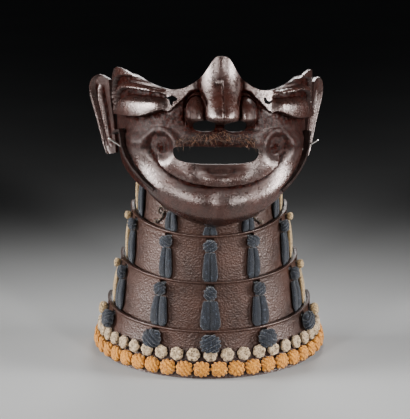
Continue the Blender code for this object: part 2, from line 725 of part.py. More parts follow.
def make_laces(blue, cream, parts):
    """Seven columns of lacing. Each goes down the face of a plate, behind the next rim, out through
    that plate's hole into a knot and on down, and ends in a large knot on the lowest plate."""
    for index, turn in enumerate(LACE_TURNS):
        edge = index + 1 in CREAM_LACES
        full = EDGE_WIDE if edge else 1.0
        pair = (PAIR_WIDTH * full, STRAND_THICK * (EDGE_DEEP if edge else 1.0), GROOVE)
        first = guard_share(0, turn, band_end(turn - MASK_TURN) - BAND_TO_LACE)
        run = FIRST_END - first
        rings = [(first + run * way, wide, deep) for way, wide, deep in FIRST_RINGS]
        slices = lace_stretch(0, turn, rings, *pair)
        for number in range(1, LAMES):
            link = (LINK_WIDTH, LINK_THICK, 0.0)
            behind = -(LAME_WALL + LACE_ROOM / 2)
            outside = CLEARANCE + LINK_THICK / 2
            start, end = exit_slope(number, turn)
            slices.append(lace_ring(number, turn, 0.0, behind, *link))
            slices.append(lace_ring(number, turn, start, behind, *link))
            slices.append(lace_ring(number, turn, end, outside, *link))
            if number == LAMES - 1:
                knot = (LAST_KNOT_WIDTH * full, LAST_KNOT_THICK * full, 0.0)
                slices += lace_stretch(number, turn, LAST_RINGS, *knot)
            else:
                knot = (KNOT_WIDTH * full, KNOT_THICK * full, 0.0)
                slices += lace_stretch(number, turn, KNOT_RINGS, *knot)
                slices += lace_stretch(number, turn, PAIR_RINGS, *pair)
        finish = cream if edge else blue
        loft(f"lace_{index + 1}", slices, finish, parts)


def make_hem(name, level, width, thick, shift, finish, parts):
    """A row of round knots along the lowest plate, fused side by side into one strip."""
    number = LAMES - 1
    share = 1 - level / rim_shape(number)[2]
    pitch = 2 * (GUARD_TURN - 3.0) / HEM_KNOTS
    bead = ((0.0, 0.40), (0.25, 0.97), (0.75, 0.97))
    slices = []
    for k in range(HEM_KNOTS):
        for part, size in bead:
            turn = -GUARD_TURN + 3.0 + pitch * (k + part + shift)
            slices.append(hem_ring(number, turn, share, width * size, thick * (0.35 + 0.65 * size)))
    end_turn = GUARD_TURN - 3.0 + pitch * shift
    slices.append(hem_ring(number, end_turn, share, width * bead[0][1], thick * 0.6))
    loft(name, slices, finish, parts)


def hem_ring(number, turn, share, height, thick, sides=6):
    """A cross-section of the hem's strip, in the upright plane square to the plate."""
    angle = math.radians(turn)
    wide, deep, _, _ = rim_shape(number)
    out = Vector((deep * math.sin(angle), -wide * math.cos(angle), 0)).normalized()
    middle = lame_surface(number, turn, share)
    down = (lame_surface(number, turn, share + 0.1) - middle).normalized()
    square = (out - down * out.dot(down)).normalized()
    middle += square * (CLEARANCE + thick / 2)
    turns = [2 * math.pi * (k + 0.5) / sides for k in range(sides)]
    return [middle + down * height / 2 * math.cos(t) + square * thick / 2 * math.sin(t) for t in turns]


def place_on_frames(collections, mask_pieces):
    """Hangs the pieces of the mask on a turned frame, and all the rest on one that centres the part."""
    whole = bpy.data.objects.new("guard_frame", None)
    turned = bpy.data.objects.new("mask_frame", None)
    for frame in (whole, turned):
        bpy.context.scene.collection.objects.link(frame)
    turned.parent = whole
    whole.location = (*CENTRE_SHIFT, 0)
    turned.matrix_local = mask_place()
    for collection in collections:
        for made in collection.objects:
            made.parent = turned if made.name.startswith(mask_pieces) else whole


def new_collection(name):
    made = bpy.data.collections.new(name)
    bpy.context.scene.collection.children.link(made)
    return made


def main():
    for old in list(bpy.data.objects):
        bpy.data.objects.remove(old)
    parts = new_collection("face_guard")
    cutters = new_collection("cutters")
    cutters.hide_render = True
    iron = material("russet_iron", (0.085, 0.040, 0.032), 0.35, 0.2)
    plate = material("grained_plate", (0.105, 0.060, 0.050), 0.5)
    black = material("black_lacquer", (0.012, 0.010, 0.010), 0.35)
    silver = material("peg_silver", (0.80, 0.78, 0.74), 0.25, 1.0)
    hair = material("bristle", (0.20, 0.085, 0.035), 0.7)
    blue = material("blue_lace", (0.020, 0.032, 0.060), 0.8)
    cream = material("cream_lace", (0.66, 0.54, 0.36), 0.8)
    orange = material("orange_lace", (0.70, 0.30, 0.06), 0.8)
    mask = make_mask(iron, parts, cutters)
    make_pegs(mask, silver, parts, cutters)
    make_hooks(black, parts)
    make_ears(iron, parts)
    make_moustache(hair, parts)
    make_lames(plate, parts, cutters)
    make_laces(blue, cream, parts)
    cream_level = ORANGE_LEVEL + (ORANGE_WIDTH + CREAM_WIDTH) / 2 + 2 * CLEARANCE
    make_hem("hem_knots_orange", ORANGE_LEVEL, ORANGE_WIDTH, ORANGE_THICK, 0.0, orange, parts)
    make_hem("hem_knots_cream", cream_level, CREAM_WIDTH, CREAM_THICK, 0.0, cream, parts)
    place_on_frames((parts, cutters), MASK_PIECES)


main()
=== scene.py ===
# %% [markdown]
# # A samurai face guard
#
# A half mask of lacquered iron stands on its throat guard: four curved plates that hang on columns of
# silk lacing, with two rows of silk knots along the hem. This lesson dresses the solids of the part,
# piece by piece, in the frame that they were packed in: metres, +Z up, the face towards -Y.

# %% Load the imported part
import math

import bmesh
import bpy
import numpy as np
from mathutils import Matrix, Vector
from mathutils.kdtree import KDTree


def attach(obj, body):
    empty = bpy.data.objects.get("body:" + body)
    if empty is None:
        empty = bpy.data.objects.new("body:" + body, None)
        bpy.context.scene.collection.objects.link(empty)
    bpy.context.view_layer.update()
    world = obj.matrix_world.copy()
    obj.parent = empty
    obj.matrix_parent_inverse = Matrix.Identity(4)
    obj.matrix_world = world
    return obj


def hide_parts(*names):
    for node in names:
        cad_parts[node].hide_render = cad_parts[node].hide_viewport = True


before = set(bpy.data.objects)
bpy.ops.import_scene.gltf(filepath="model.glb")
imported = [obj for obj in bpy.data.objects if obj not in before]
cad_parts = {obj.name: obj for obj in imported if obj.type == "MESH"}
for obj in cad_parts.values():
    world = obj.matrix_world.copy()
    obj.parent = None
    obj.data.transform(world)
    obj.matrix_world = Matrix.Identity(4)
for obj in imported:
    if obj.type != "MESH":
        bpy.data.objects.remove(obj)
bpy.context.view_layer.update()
MM = 0.001


def add_object(name, data):
    """A new object in the scene with this mesh, lamp or camera."""
    made = bpy.data.objects.new(name, data)
    bpy.context.scene.collection.objects.link(made)
    return made


# %% [markdown]
# ## The view
#
# The photograph looks slightly down on the guard from about a metre away, with a long lens, so the far
# side hardly shrinks. The ear line of the guard lies some way behind the middle of its box. Every
# piece below is described about that line, and CENTRE moves it to its place in the part.

# %% Camera
CENTRE = Vector((0.0, 41.05 * MM, 0.0))
AIM = CENTRE + Vector((-3.0 * MM, 0.0, 102.5 * MM))
EYE_HEIGHT = 320 * MM
EYE_DISTANCE = 1050 * MM
EYE_TURN = math.radians(-0.5)

reach = math.sqrt(EYE_DISTANCE ** 2 - (EYE_HEIGHT - AIM.z) ** 2)
lens = bpy.data.cameras.new("camera")
lens.lens = 120.3
lens.sensor_width = 36.0
camera = add_object("camera", lens)
camera.location = (AIM.x + reach * math.sin(EYE_TURN), AIM.y - reach * math.cos(EYE_TURN), EYE_HEIGHT)
camera.rotation_euler = (AIM - camera.location).to_track_quat("-Z", "Y").to_euler()
bpy.context.scene.camera = camera
print("camera looks down by", round(math.degrees(math.asin((EYE_HEIGHT - AIM.z) / EYE_DISTANCE)), 1), "degrees")

# %% [markdown]
# ## Floor and light
#
# Dark lacquer is seen mostly by what it reflects. A large soft box on each side makes the broad lights
# on the cheeks and the plates, two narrow ones in front make those on the nose and the chin, and one
# behind touches the upper edge. The sky is almost dark, so the lacquer stays dark between the lights.
# The floor is plain and pale.

# %% Shader helpers
def new_material(name, colour, roughness, metallic=0.0):
    """A material with its Principled shader set."""
    made = bpy.data.materials.new(name)
    made.use_nodes = True
    inputs = shader_of(made).inputs
    inputs["Base Color"].default_value = (*colour, 1.0)
    inputs["Roughness"].default_value = roughness
    inputs["Metallic"].default_value = metallic
    return made


def tree_node(tree, kind, inputs=None, **settings):
    """A node of this kind, with its settings and the values or links of its inputs."""
    node = tree.nodes.new(kind)
    for key, value in settings.items():
        setattr(node, key, value)
    for key, value in (inputs or {}).items():
        if isinstance(value, bpy.types.NodeSocket):
            tree.links.new(value, node.inputs[key])
        else:
            node.inputs[key].default_value = value
    return node


def add_node(material, kind, inputs=None, **settings):
    return tree_node(material.node_tree, kind, inputs, **settings)


def shader_of(material):
    return material.node_tree.nodes["Principled BSDF"]


def join(material, source, socket):
    material.node_tree.links.new(source, shader_of(material).inputs[socket])


def place_on(material, output="Object", scale=(1.0, 1.0, 1.0)):
    """The coordinates that a pattern is laid out on, stretched by scale."""
    where = add_node(material, "ShaderNodeTexCoord")
    return add_node(material, "ShaderNodeMapping", {"Vector": where.outputs[output], "Scale": scale}).outputs[0]


def noise(material, where, scale, detail=3.0, roughness=0.55):
    inputs = {"Vector": where, "Scale": scale, "Detail": detail, "Roughness": roughness}
    return add_node(material, "ShaderNodeTexNoise", inputs).outputs["Fac"]


def ramp(material, source, low, high, at_low, at_high):
    """Spreads a pattern between two values or two colours."""
    inputs = {"Value": source, "From Min": at_low, "From Max": at_high}
    if isinstance(low, tuple):
        return blend_colours(material, ramp(material, source, 0.0, 1.0, at_low, at_high), low, high)
    inputs.update({"To Min": low, "To Max": high})
    return add_node(material, "ShaderNodeMapRange", inputs).outputs[0]


def blend_colours(material, share, first, second):
    """Mixes two colours, which may come from nodes. Sockets 6, 7 and 2 are the colour ones."""
    mix = add_node(material, "ShaderNodeMix", {"Factor": share}, data_type="RGBA")
    for socket, colour in ((mix.inputs[6], first), (mix.inputs[7], second)):
        if isinstance(colour, bpy.types.NodeSocket):
            material.node_tree.links.new(colour, socket)
        else:
            socket.default_value = (*colour, 1.0)
    return mix.outputs[2]


def bump(material, height, distance, strength=1.0, under=None):
    inputs = {"Height": height, "Distance": distance, "Strength": strength}
    if under is not None:
        inputs["Normal"] = under
    return add_node(material, "ShaderNodeBump", inputs).outputs[0]


# %% Floor and lamps
floor_mesh = bpy.data.meshes.new("floor")
floor_mesh.from_pydata([(-8, -4, 0), (8, -4, 0), (8, 14, 0), (-8, 14, 0)], [], [(0, 1, 2, 3)])
floor = add_object("floor", floor_mesh)
paper = new_material("pale_floor", (0.28, 0.28, 0.28), 0.85)
clouds = noise(paper, place_on(paper), 3.0)
join(paper, ramp(paper, clouds, (0.27, 0.27, 0.27), (0.30, 0.30, 0.295), 0.3, 0.7), "Base Color")
floor_mesh.materials.append(paper)


LAMP_SPREAD = math.radians(44)
MIDDLE = Vector((0.0, -0.08, 0.10))
# name, place, width, height, watts
SOFT_BOXES = (
    ("left_box", (-1.00, -0.14, 0.36), 0.50, 0.62, 4.0),
    ("right_box", (1.00, -0.20, 0.34), 0.36, 0.56, 2.8),
    ("front_left_box", (-0.58, -0.92, 0.42), 0.11, 0.56, 0.85),
    ("front_right_box", (0.56, -0.96, 0.38), 0.09, 0.52, 0.80),
    ("back_box", (0.15, 0.95, 0.95), 0.35, 0.30, 0.8),
)
for name, place, width, height, watts in SOFT_BOXES:
    # a lamp behind a cloth, with a grid that keeps its light off the background
    lamp = bpy.data.lights.new(name, "AREA")
    lamp.shape = "RECTANGLE"
    lamp.size, lamp.size_y = width, height
    lamp.energy = watts
    lamp.spread = LAMP_SPREAD
    box = add_object(name, lamp)
    box.location = place
    box.rotation_euler = (MIDDLE - Vector(place)).to_track_quat("-Z", "Y").to_euler()
sky = bpy.data.worlds.new("sky")
bpy.context.scene.world = sky
sky.use_nodes = True
glow = sky.node_tree.nodes["Background"].inputs
glow["Color"].default_value = (0.80, 0.84, 0.90, 1.0)
glow["Strength"].default_value = 0.012

# %% [markdown]
# ## Tools for shapes
#
# Nearly every piece here is a loft: a row of outlines, each with the same number of points, joined
# into one closed skin. A plate is a loft round the neck, a strand of silk is a loft down its path, and
# the mask is a loft from ear to ear. A few helpers make those skins from arrays.

# %% Loft helpers
def curve_through(points):
    """A function that gives the height of a smooth curve through (x, height) points."""
    x, y = np.array(points, float).T
    slope = np.gradient(y, x)
    slope[1:-1] = (y[2:] - y[:-2]) / (x[2:] - x[:-2])

    def height(at):
        at = np.clip(at, x[0], x[-1])
        k = np.clip(np.searchsorted(x, at, side="right") - 1, 0, len(x) - 2)
        width = x[k + 1] - x[k]
        s = (at - x[k]) / width
        return (
            y[k] * (1 + 2 * s) * (1 - s) ** 2 + slope[k] * width * s * (1 - s) ** 2
            + y[k + 1] * s * s * (3 - 2 * s) + slope[k + 1] * width * s * s * (s - 1)
        )

    return height


def column(table, number):
    """One column of a table beside its first column."""
    return [(row[0], row[number]) for row in table]


def step(low, high, x):
    """0 below low, 1 above high and smooth between them."""
    s = np.clip((x - low) / (high - low), 0.0, 1.0)
    return s * s * (3 - 2 * s)


def skin_of(rings):
    """Points, faces and (along, round) marks of a closed skin over rings[k][point] = (x, y, z)."""
    rings = np.asarray(rings, float)
    rows, count = rings.shape[:2]
    points = rings.reshape(-1, 3)
    faces = []
    for r in range(rows - 1):
        a, b = r * count, (r + 1) * count
        for k in range(count):
            n = (k + 1) % count
            faces.append((a + k, a + n, b + n, b + k))
    faces.append(tuple(range(count - 1, -1, -1)))
    faces.append(tuple((rows - 1) * count + k for k in range(count)))
    middles = rings.mean(axis=1)
    along = np.concatenate([[0], np.cumsum(np.linalg.norm(np.diff(middles, axis=0), axis=1))])
    marks = np.stack([np.repeat(along, count), np.tile(np.arange(count) / count, rows)], axis=1)
    return points, faces, marks


def piece_of(name, skins, finish, sharp=40.0):
    """One mesh object from several skins, faces outwards, with the marks kept as its UV map."""
    points, faces, marks, base = [], [], [], 0
    for some_points, some_faces, some_marks in skins:
        points.append(some_points)
        marks.append(some_marks)
        faces += [tuple(base + k for k in face) for face in some_faces]
        base += len(some_points)
    mesh = bpy.data.meshes.new(name)
    mesh.from_pydata(np.concatenate(points).tolist(), [], faces)
    work = bmesh.new()
    work.from_mesh(mesh)
    bmesh.ops.recalc_face_normals(work, faces=work.faces)
    work.to_mesh(mesh)
    work.free()
    layer = mesh.uv_layers.new(name="UVMap")
    which = np.zeros(len(mesh.loops), int)
    mesh.loops.foreach_get("vertex_index", which)
    layer.data.foreach_set("uv", np.concatenate(marks)[which].astype(np.float32).ravel())
    mesh.shade_smooth()
    mesh.set_sharp_from_angle(angle=math.radians(sharp))
    mesh.materials.append(finish)
    return add_object(name, mesh)


def moved(rings, matrix):
    """The same rings after a move."""
    m = np.array(matrix)
    return np.asarray(rings, float) @ m[:3, :3].T + m[:3, 3]


def settle(made, slot, *nodes):
    """Hands a finished piece over: it rides on the part and stands for its nodes. Its slot is not used."""
    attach(made, "root")
    if nodes:
        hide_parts(*nodes)
    return made


def as_plain_mesh(made, name, finish):
    """The evaluated shape of an object as an object of its own. The first one is removed."""
    bpy.context.view_layer.update()
    graph = bpy.context.evaluated_depsgraph_get()
    shape = made.evaluated_get(graph)
    mesh = bpy.data.meshes.new_from_object(shape, preserve_all_data_layers=True, depsgraph=graph)
    bpy.data.objects.remove(made)
    mesh.name = name
    mesh.materials.clear()
    mesh.materials.append(finish)
    return add_object(name, mesh)


def mark_recess(made, values):
    """Keeps on each point of a mesh how far the skin lies back there, from 0 to 1. The lacquer paints shade
    into the colour by it and dulls the shine.
    """
    layer = made.data.attributes.new("recess", "FLOAT", "POINT")
    layer.data.foreach_set("value", np.asarray(values, np.float32))


# %% [markdown]
# ## Lacquer
#
# The mask is iron under a thin coat of red-brown lacquer, which follows every hammer mark. So its
# shine is broad and a little broken. The colour drifts between a warmer and a blacker brown, it is
# rubbed lighter in small specks, and a very fine pitting roughens the reflections. Hands polish what
# stands out, and dirt dulls what lies back, so each point carries a mark, "recess", that takes the
# shine away there. The same mark paints shade into the colour: hollows, grooves, the corner pits and
# the places under the nose, the cheek edges and the middle of the mouth turn a darker, redder brown.

# %% Russet lacquer
def lacquer(name, dark, warm, gloss, pit):
    """Glossy where the skin stands out, and matt, stippled and redder where it lies back, with shade painted
    into its colour there.
    """
    made = new_material(name, warm, gloss)
    shader_of(made).inputs["Specular Tint"].default_value = (1.0, 0.84, 0.79, 1.0)
    where = place_on(made)
    drift = noise(made, where, 60.0, 4.0)
    fine = noise(made, where, 1000.0, 3.0, 0.7)
    back = add_node(made, "ShaderNodeAttribute", attribute_name="recess").outputs["Fac"]
    glossy = ramp(made, drift, dark, warm, 0.38, 0.62)
    redder = tuple(c * k for c, k in zip(warm, (1.00, 0.50, 0.40)))
    darker = tuple(c * 0.25 for c in dark)
    # painted shade: where the recess mark is high, the colour turns to a darker, redder brown
    painted_shade_colour = ramp(made, noise(made, where, 420.0, 4.0, 0.7), darker, redder, 0.40, 0.76)
    colour = blend_colours(made, back, glossy, painted_shade_colour)
    specks = ramp(made, fine, 0.0, 1.0, 0.60, 0.72)
    worn = tuple(min(1.0, c * 2.2 + 0.012) for c in warm)
    join(made, blend_colours(made, specks, colour, worn), "Base Color")
    even = ramp(made, noise(made, where, 320.0, 5.0, 0.65), gloss - 0.06, gloss + 0.10, 0.3, 0.7)
    matt = add_node(made, "ShaderNodeMath", {0: back, 1: 0.20, 2: even}, operation="MULTIPLY_ADD")
    join(made, matt.outputs[0], "Roughness")
    deep = ramp(made, back, 0.0, 1.0, 0.0, 0.93)
    pits = ramp(made, noise(made, where, 300.0, 4.0, 0.7), 0.995, 0.90, 0.44, 0.60)
    dull = add_node(made, "ShaderNodeMath", {0: deep, 1: pits}, operation="MULTIPLY").outputs[0]
    shine = add_node(made, "ShaderNodeMath", {0: 1.0, 1: dull}, operation="SUBTRACT").outputs[0]
    join(made, shine, "Specular IOR Level")
    hammered = bump(made, noise(made, where, 130.0, 2.0), 0.5 * MM, 0.35)
    stipple = bump(made, noise(made, where, 480.0, 3.0, 0.7), 0.55 * MM, 0.60, hammered)
    join(made, bump(made, fine, pit, 0.8, stipple), "Normal")
    return made


russet = lacquer("russet_lacquer", (0.0085, 0.0042, 0.0034), (0.025, 0.0074, 0.0050), 0.26, 0.10 * MM)
print("lacquer:", russet.name)

# %% [markdown]
# ## The mask
#
# A smith raised the bowl from sheet iron, so it is one thin wall of even thickness. Its plain form is
# described by rows that climb from the chin to the upper edge, and everything that stands on it, such
# as the nose, lips, cheek pads and folds, is a height over that plain form. The wall's inner face is
# pushed back by the wall's thickness from the lowest skin nearby, so it never gets too thin.

# %% Sizes of the bowl
MASK_WIDTH = 140 * MM
MASK_DEPTH = 88 * MM
MASK_HEIGHT = 121 * MM
MASK_BASE = 104.5 * MM
MASK_WALL = 2.0 * MM
MASK_SPAN = 95.0
BAND_DROP = 10.5 * MM
BAND_DROP_SIDE = 6.0 * MM
BAND_TURN_IN = 8.0 * MM
MASK_TURN = 4.0
MASK_ROLL = 1.2
ROLL_HEIGHT = 115 * MM

TOP_EDGE = curve_through((
    (0.0, 1.000), (3.0, 0.990), (5.2, 0.962), (7.6, 0.920), (10.4, 0.880), (15.4, 0.838),
    (20.0, 0.812), (26.0, 0.798), (34.0, 0.800), (40.0, 0.811), (46.0, 0.828), (52.0, 0.847),
    (58.0, 0.867), (65.0, 0.880), (73.0, 0.880), (79.0, 0.858), (86.0, 0.800), (97.0, 0.775),
))
# climb, then shares of the height in front and at the side, of the width and of the depth
BOWL_ROWS = (
    (0.00, 0.087, 0.326, 0.950, 0.952),
    (0.11, 0.174, 0.376, 0.965, 0.985),
    (0.24, 0.269, 0.426, 0.975, 0.972),
    (0.36, 0.368, 0.475, 0.985, 0.984),
    (0.47, 0.450, 0.525, 0.990, 0.990),
    (0.58, 0.533, 0.574, 0.993, 0.992),
    (0.68, 0.607, 0.624, 1.000, 0.977),
    (0.78, 0.690, 0.690, 1.000, 0.938),
)
UPPER_CLIMB = BOWL_ROWS[-1][0]
BOWL = [curve_through(column(BOWL_ROWS, k)) for k in (1, 2, 3, 4)]
UPPER_DEPTH = curve_through(((0.690, 0.938), (0.740, 0.905), (0.790, 0.875), (0.860, 0.845), (1.000, 0.815)))

# %% The plain bowl
def side_share(turn):
    """0 in front and 1 at the side, changing late."""
    u = np.abs(np.sin(np.radians(np.minimum(90.0, np.abs(turn)))))
    return 1 - (1 - u ** 1.6) ** 0.625


def bowl_row(turn, climb):
    """Shares of the height, the width and the depth of the plain bowl."""
    side = side_share(turn)
    known = np.minimum(climb, UPPER_CLIMB)
    front, flank, width, depth = (one(known) for one in BOWL)
    height = front + (flank - front) * side
    over = np.clip((climb - UPPER_CLIMB) / (1 - UPPER_CLIMB), 0.0, 1.0)
    height = height + (TOP_EDGE(np.abs(turn)) - height) * over
    depth = np.where(climb > UPPER_CLIMB, UPPER_DEPTH(np.maximum(height, 0.690)), depth)
    return height, width, depth


def plain_point(turn, climb):
    """A point of the plain bowl, the way out of it, and its shares of the half width and the height."""
    angle = np.radians(turn)
    height, width, depth = bowl_row(turn, climb)
    across, ahead = MASK_WIDTH / 2 * width, MASK_DEPTH * depth
    out = np.stack([ahead * np.sin(angle), -across * np.cos(angle), np.zeros_like(across)], axis=-1)
    out /= np.linalg.norm(out, axis=-1, keepdims=True)
    level = MASK_BASE + height * MASK_HEIGHT
    point = np.stack([across * np.sin(angle), -ahead * np.cos(angle), level], axis=-1)
    return point, out, point[..., 0] / (MASK_WIDTH / 2), height


def mask_place():
    """Where the mask sits on its throat guard, in the part's frame."""
    turned = Matrix.Rotation(math.radians(MASK_TURN), 4, "Z") @ Matrix.Rotation(math.radians(MASK_ROLL), 4, "Y")
    pivot = Vector((0, 0, ROLL_HEIGHT))
    return Matrix.Translation(CENTRE) @ Matrix.Translation(pivot - turned @ pivot) @ turned


# %% [markdown]
# The nose is a ridge that stands furthest at its tip, with a bulb on each side for the nostril's wing.
# A fine line runs down its middle. Each cheek is a stack of folds: going down, the skin first turns in
# for a dark step and then swells out again into a bright roll. The largest roll, the cheek pad, ends
# in a crisp edge. From the wings a second edge runs out and down to a point.

# %% Nose and cheeks
NOSE_REACH = 22.0 * MM
WING_REACH = 13.0 * MM
PAD_REACH = 6.4 * MM
FOLD_STEP = 3.6 * MM
VALLEY_DROP = 2.0 * MM
HOLLOW_DROP = 3.8 * MM
LINE_DEPTH = 1.3 * MM
OUTLINE_REACH = 4.6 * MM
MOAT_DROP = 2.2 * MM
SLIT_DEPTH = 0.9 * MM

# share of the height, share of the reach, half the width, how softly the sides run out
NOSE_RIDGE = (
    (0.600, 0.00, 0.155, 0.70), (0.618, 0.14, 0.160, 0.70), (0.640, 0.62, 0.166, 0.70),
    (0.664, 0.94, 0.173, 0.72), (0.690, 1.00, 0.180, 0.78), (0.745, 0.90, 0.198, 0.95),
    (0.820, 0.66, 0.224, 1.30), (0.900, 0.48, 0.235, 1.60), (1.000, 0.42, 0.240, 1.70),
)
RIDGE_REACH, RIDGE_HALF, RIDGE_SOFT = (curve_through(column(NOSE_RIDGE, k)) for k in (1, 2, 3))
WING_PLACE = (0.228, 0.695)
WING_SIZE = (0.100, 0.082)
# share of the half width, share of the height
CHEEK_EDGE = curve_through((
    (0.16, 0.790), (0.21, 0.789), (0.30, 0.773), (0.40, 0.722), (0.500, 0.668), (0.54, 0.676),
    (0.62, 0.655), (0.73, 0.627), (0.86, 0.610), (1.00, 0.596),
))
# edges of the folds above the pad, by degrees round from the nose; near the ear they all bend down
PAD_TOP = curve_through((
    (30.0, 0.748), (38.0, 0.751), (50.0, 0.745), (60.0, 0.735),
    (65.0, 0.718), (68.5, 0.680), (71.0, 0.625), (73.0, 0.560),
))
BAND_LOW = curve_through((
    (30.0, 0.762), (38.0, 0.770), (50.0, 0.773), (60.0, 0.768),
    (68.0, 0.750), (73.0, 0.715), (76.5, 0.655), (79.0, 0.570),
))
BAND_TOP = curve_through((
    (36.0, 0.796), (44.0, 0.803), (52.0, 0.806), (60.0, 0.803),
    (68.0, 0.792), (75.0, 0.762), (79.5, 0.705), (83.0, 0.590),
))
SHELF_LOW = curve_through((
    (42.0, 0.845), (52.0, 0.843), (62.0, 0.838), (70.0, 0.827),
    (77.0, 0.798), (82.0, 0.745), (86.0, 0.640), (88.0, 0.570),
))


def bell(x, middle, half):
    """1 at the middle, and falling softly to 0 on both sides."""
    return np.exp(-(((x - middle) / half) ** 2))


def nose_height(u, v, signed):
    """The ridge with the line down its middle, and the two wings with their raised outlines."""
    across = np.clip(1 - (u / RIDGE_HALF(v)) ** 2, 0.0, 1.0)
    ridge = RIDGE_REACH(v) * NOSE_REACH * across ** RIDGE_SOFT(v)
    ridge = np.where(v < 0.6, 0.0, ridge)
    over = np.maximum(0.0, v - WING_PLACE[1])
    off = np.hypot((u - WING_PLACE[0]) / WING_SIZE[0], over / WING_SIZE[1])
    under = step(0.590, 0.665, v)
    bulb = WING_REACH * np.clip(1 - (off / 0.95) ** 3, 0.0, 1.0) ** 0.5 * under
    outline = OUTLINE_REACH * bell(off, 1.03, 0.075) * under
    moat = -MOAT_DROP * bell(off, 1.24, 0.10) * step(0.60, 0.66, v) * (1 - step(0.79, 0.82, v))
    line = LINE_DEPTH * bell(u, 0.0, 0.0090) * step(0.61, 0.64, v) * (1 - step(0.845, 0.875, v))
    slit = SLIT_DEPTH * bell(v, 0.849, 0.0055) * step(-0.068, -0.058, signed)
    slit *= 1 - step(-0.002, 0.006, signed)
    return np.maximum(np.maximum(ridge, bulb), outline) + np.where(u > 0.12, moat, 0.0) - line - slit


def fold(v, low, high, reach):
    """A fold of skin: it juts out at its lower edge and runs back in towards its upper edge."""
    share = np.clip((v - low) / np.maximum(high - low, 1e-4), 0.0, 1.0)
    out = reach * np.clip((v - low) / 0.009, 0.0, 1.0) * (1 - share ** 4) ** 0.8
    return np.where((v > low) & (v < high), out, 0.0)


def valleys(v, turn):
    """How deep a point lies in the two valleys between the pad, the band and the shelf, from 0 to 1."""
    first = bell(v, (PAD_TOP(turn) + BAND_LOW(turn)) / 2, 0.014)
    return np.maximum(first, bell(v, (BAND_TOP(turn) + SHELF_LOW(turn)) / 2, 0.014))


def cheek_height(u, v, turn):
    edge = CHEEK_EDGE(u)
    above = step(0.0, 0.009, v - edge)
    outer = step(0.49, 0.58, u)
    depth = np.clip((v - 0.575) / np.maximum(edge - 0.575, 0.01), 0.0, 1.0)
    hollow = -HOLLOW_DROP * (1 - above) * step(0.17, 0.27, u) * step(0.0, 0.35, depth) * (1 - 0.6 * outer)
    plain = 0.30 * PAD_REACH * above * (1 - outer) * step(0.18, 0.26, u)
    share = np.clip((v - edge) / np.maximum(PAD_TOP(turn) - edge, 0.004), 0.0, 1.0)
    upper_half = (1 - (np.maximum(share - 0.5, 0.0) / 0.5) ** 3.4) ** 0.8
    belly = np.where(share < 0.5, 0.82 + 0.18 * np.sin(np.pi * share), upper_half)
    pad = PAD_REACH * np.clip((v - edge) / 0.009, 0.0, 1.0) * belly
    pad = np.where((v > edge) & (v < PAD_TOP(turn)), pad, 0.0)
    folds = fold(v, BAND_LOW(turn), BAND_TOP(turn), FOLD_STEP)
    shelf = v - SHELF_LOW(turn)
    folds = folds + np.where(shelf > 0, FOLD_STEP * np.clip(shelf / 0.009, 0.0, 1.0), 0.0)
    free = 1 - np.clip(folds / FOLD_STEP, 0.0, 1.0)
    folds = np.where(v > edge, folds - VALLEY_DROP * valleys(v, turn) * free, 0.0)
    return hollow + plain + (folds + pad) * outer


# %% [markdown]
# Below the nose an oval ring bounds the lower lip, and a wider one bounds the jaw. The lip swells
# inside the first ring and ends in a crisp edge there. Between the rings the chin and jaw make one
# rounded roll, and outside the second the skin lies lower, where the cord's plate stands. A soft fold
# runs round each corner of the mouth, with a hollow inside it.

# %% Lips, chin and corners
LIP_REACH = 5.2 * MM
ROLL_REACH = 4.8 * MM
STRIP_DROP = 3.0 * MM
FOLD_REACH = 1.4 * MM
PIT_DROP = 6.5 * MM
DENT_DROP = 3.0 * MM
CLEFT_DROP = 1.1 * MM
LIP_RING = (0.459, 0.632, 0.199)
JAW_RING = (0.541, 0.897, 0.530)
PIT_PLACE = (0.560, 0.468)
PIT_SIZE = (0.110, 0.066)
FOLD_SIZE = (0.150, 0.098)
FOLD_HALF = 0.26


def ring_gap(ring, u, v):
    """How far a point lies outside the lower half of an oval ring."""
    middle, half_width, drop = ring
    return (np.hypot(u / half_width, np.maximum(0.0, middle - v) / drop) - 1) * drop


def mouth_height(u, v):
    inside_lip = -ring_gap(LIP_RING, u, v)
    inside_jaw = -ring_gap(JAW_RING, u, v)
    low = 1 - step(0.47, 0.58, v)
    near_middle = 0.50 + 0.50 * step(0.06, 0.30, u)
    lip = LIP_REACH * near_middle * np.clip(inside_lip / 0.009, 0.0, 1.0)
    lip *= 1 - 0.60 * step(0.035, 0.125, inside_lip)
    dent = -DENT_DROP * np.exp(-((u / 0.20) ** 2) - ((v - 0.352) / 0.030) ** 2)
    share = np.clip(inside_lip / np.where(inside_lip == inside_jaw, 1.0, inside_lip - inside_jaw), 0.0, 1.0)
    rounded = np.sin(np.pi * share) ** 0.7
    swollen = np.sin(np.pi / 2 * np.minimum(1.0, share / 0.62)) ** 0.9
    chin = 1 - step(0.34, 0.56, u)
    on_roll = (inside_lip < 0) & (inside_jaw > 0)
    roll = np.where(on_roll, ROLL_REACH * (rounded + (swollen - rounded) * chin), 0.0)
    cleft = -CLEFT_DROP * bell(u, 0.0, 0.07) * step(0.02, 0.06, -inside_lip)
    strip = -STRIP_DROP * step(-0.002, 0.012, -inside_jaw) * (1 - step(0.50, 0.56, v)) * step(0.30, 0.45, u)
    about = np.hypot((u - PIT_PLACE[0]) / FOLD_SIZE[0], (v - PIT_PLACE[1]) / FOLD_SIZE[1])
    upper = step(-0.10, 0.02, (v - PIT_PLACE[1]) + 0.4 * (u - PIT_PLACE[0]))
    ridge = FOLD_REACH * bell(about, 1.0, FOLD_HALF) * upper
    upper_lip = 0.35 * LIP_REACH * step(0.47, 0.53, v) * (1 - step(0.56, 0.60, v))
    upper_lip *= 1 - step(0.30, 0.46, u)
    pit = np.hypot((u - PIT_PLACE[0]) / PIT_SIZE[0], (v - PIT_PLACE[1]) / PIT_SIZE[1])
    return (lip + roll + cleft + dent) * low + strip + ridge + upper_lip - PIT_DROP * np.exp(-(pit ** 2.5))


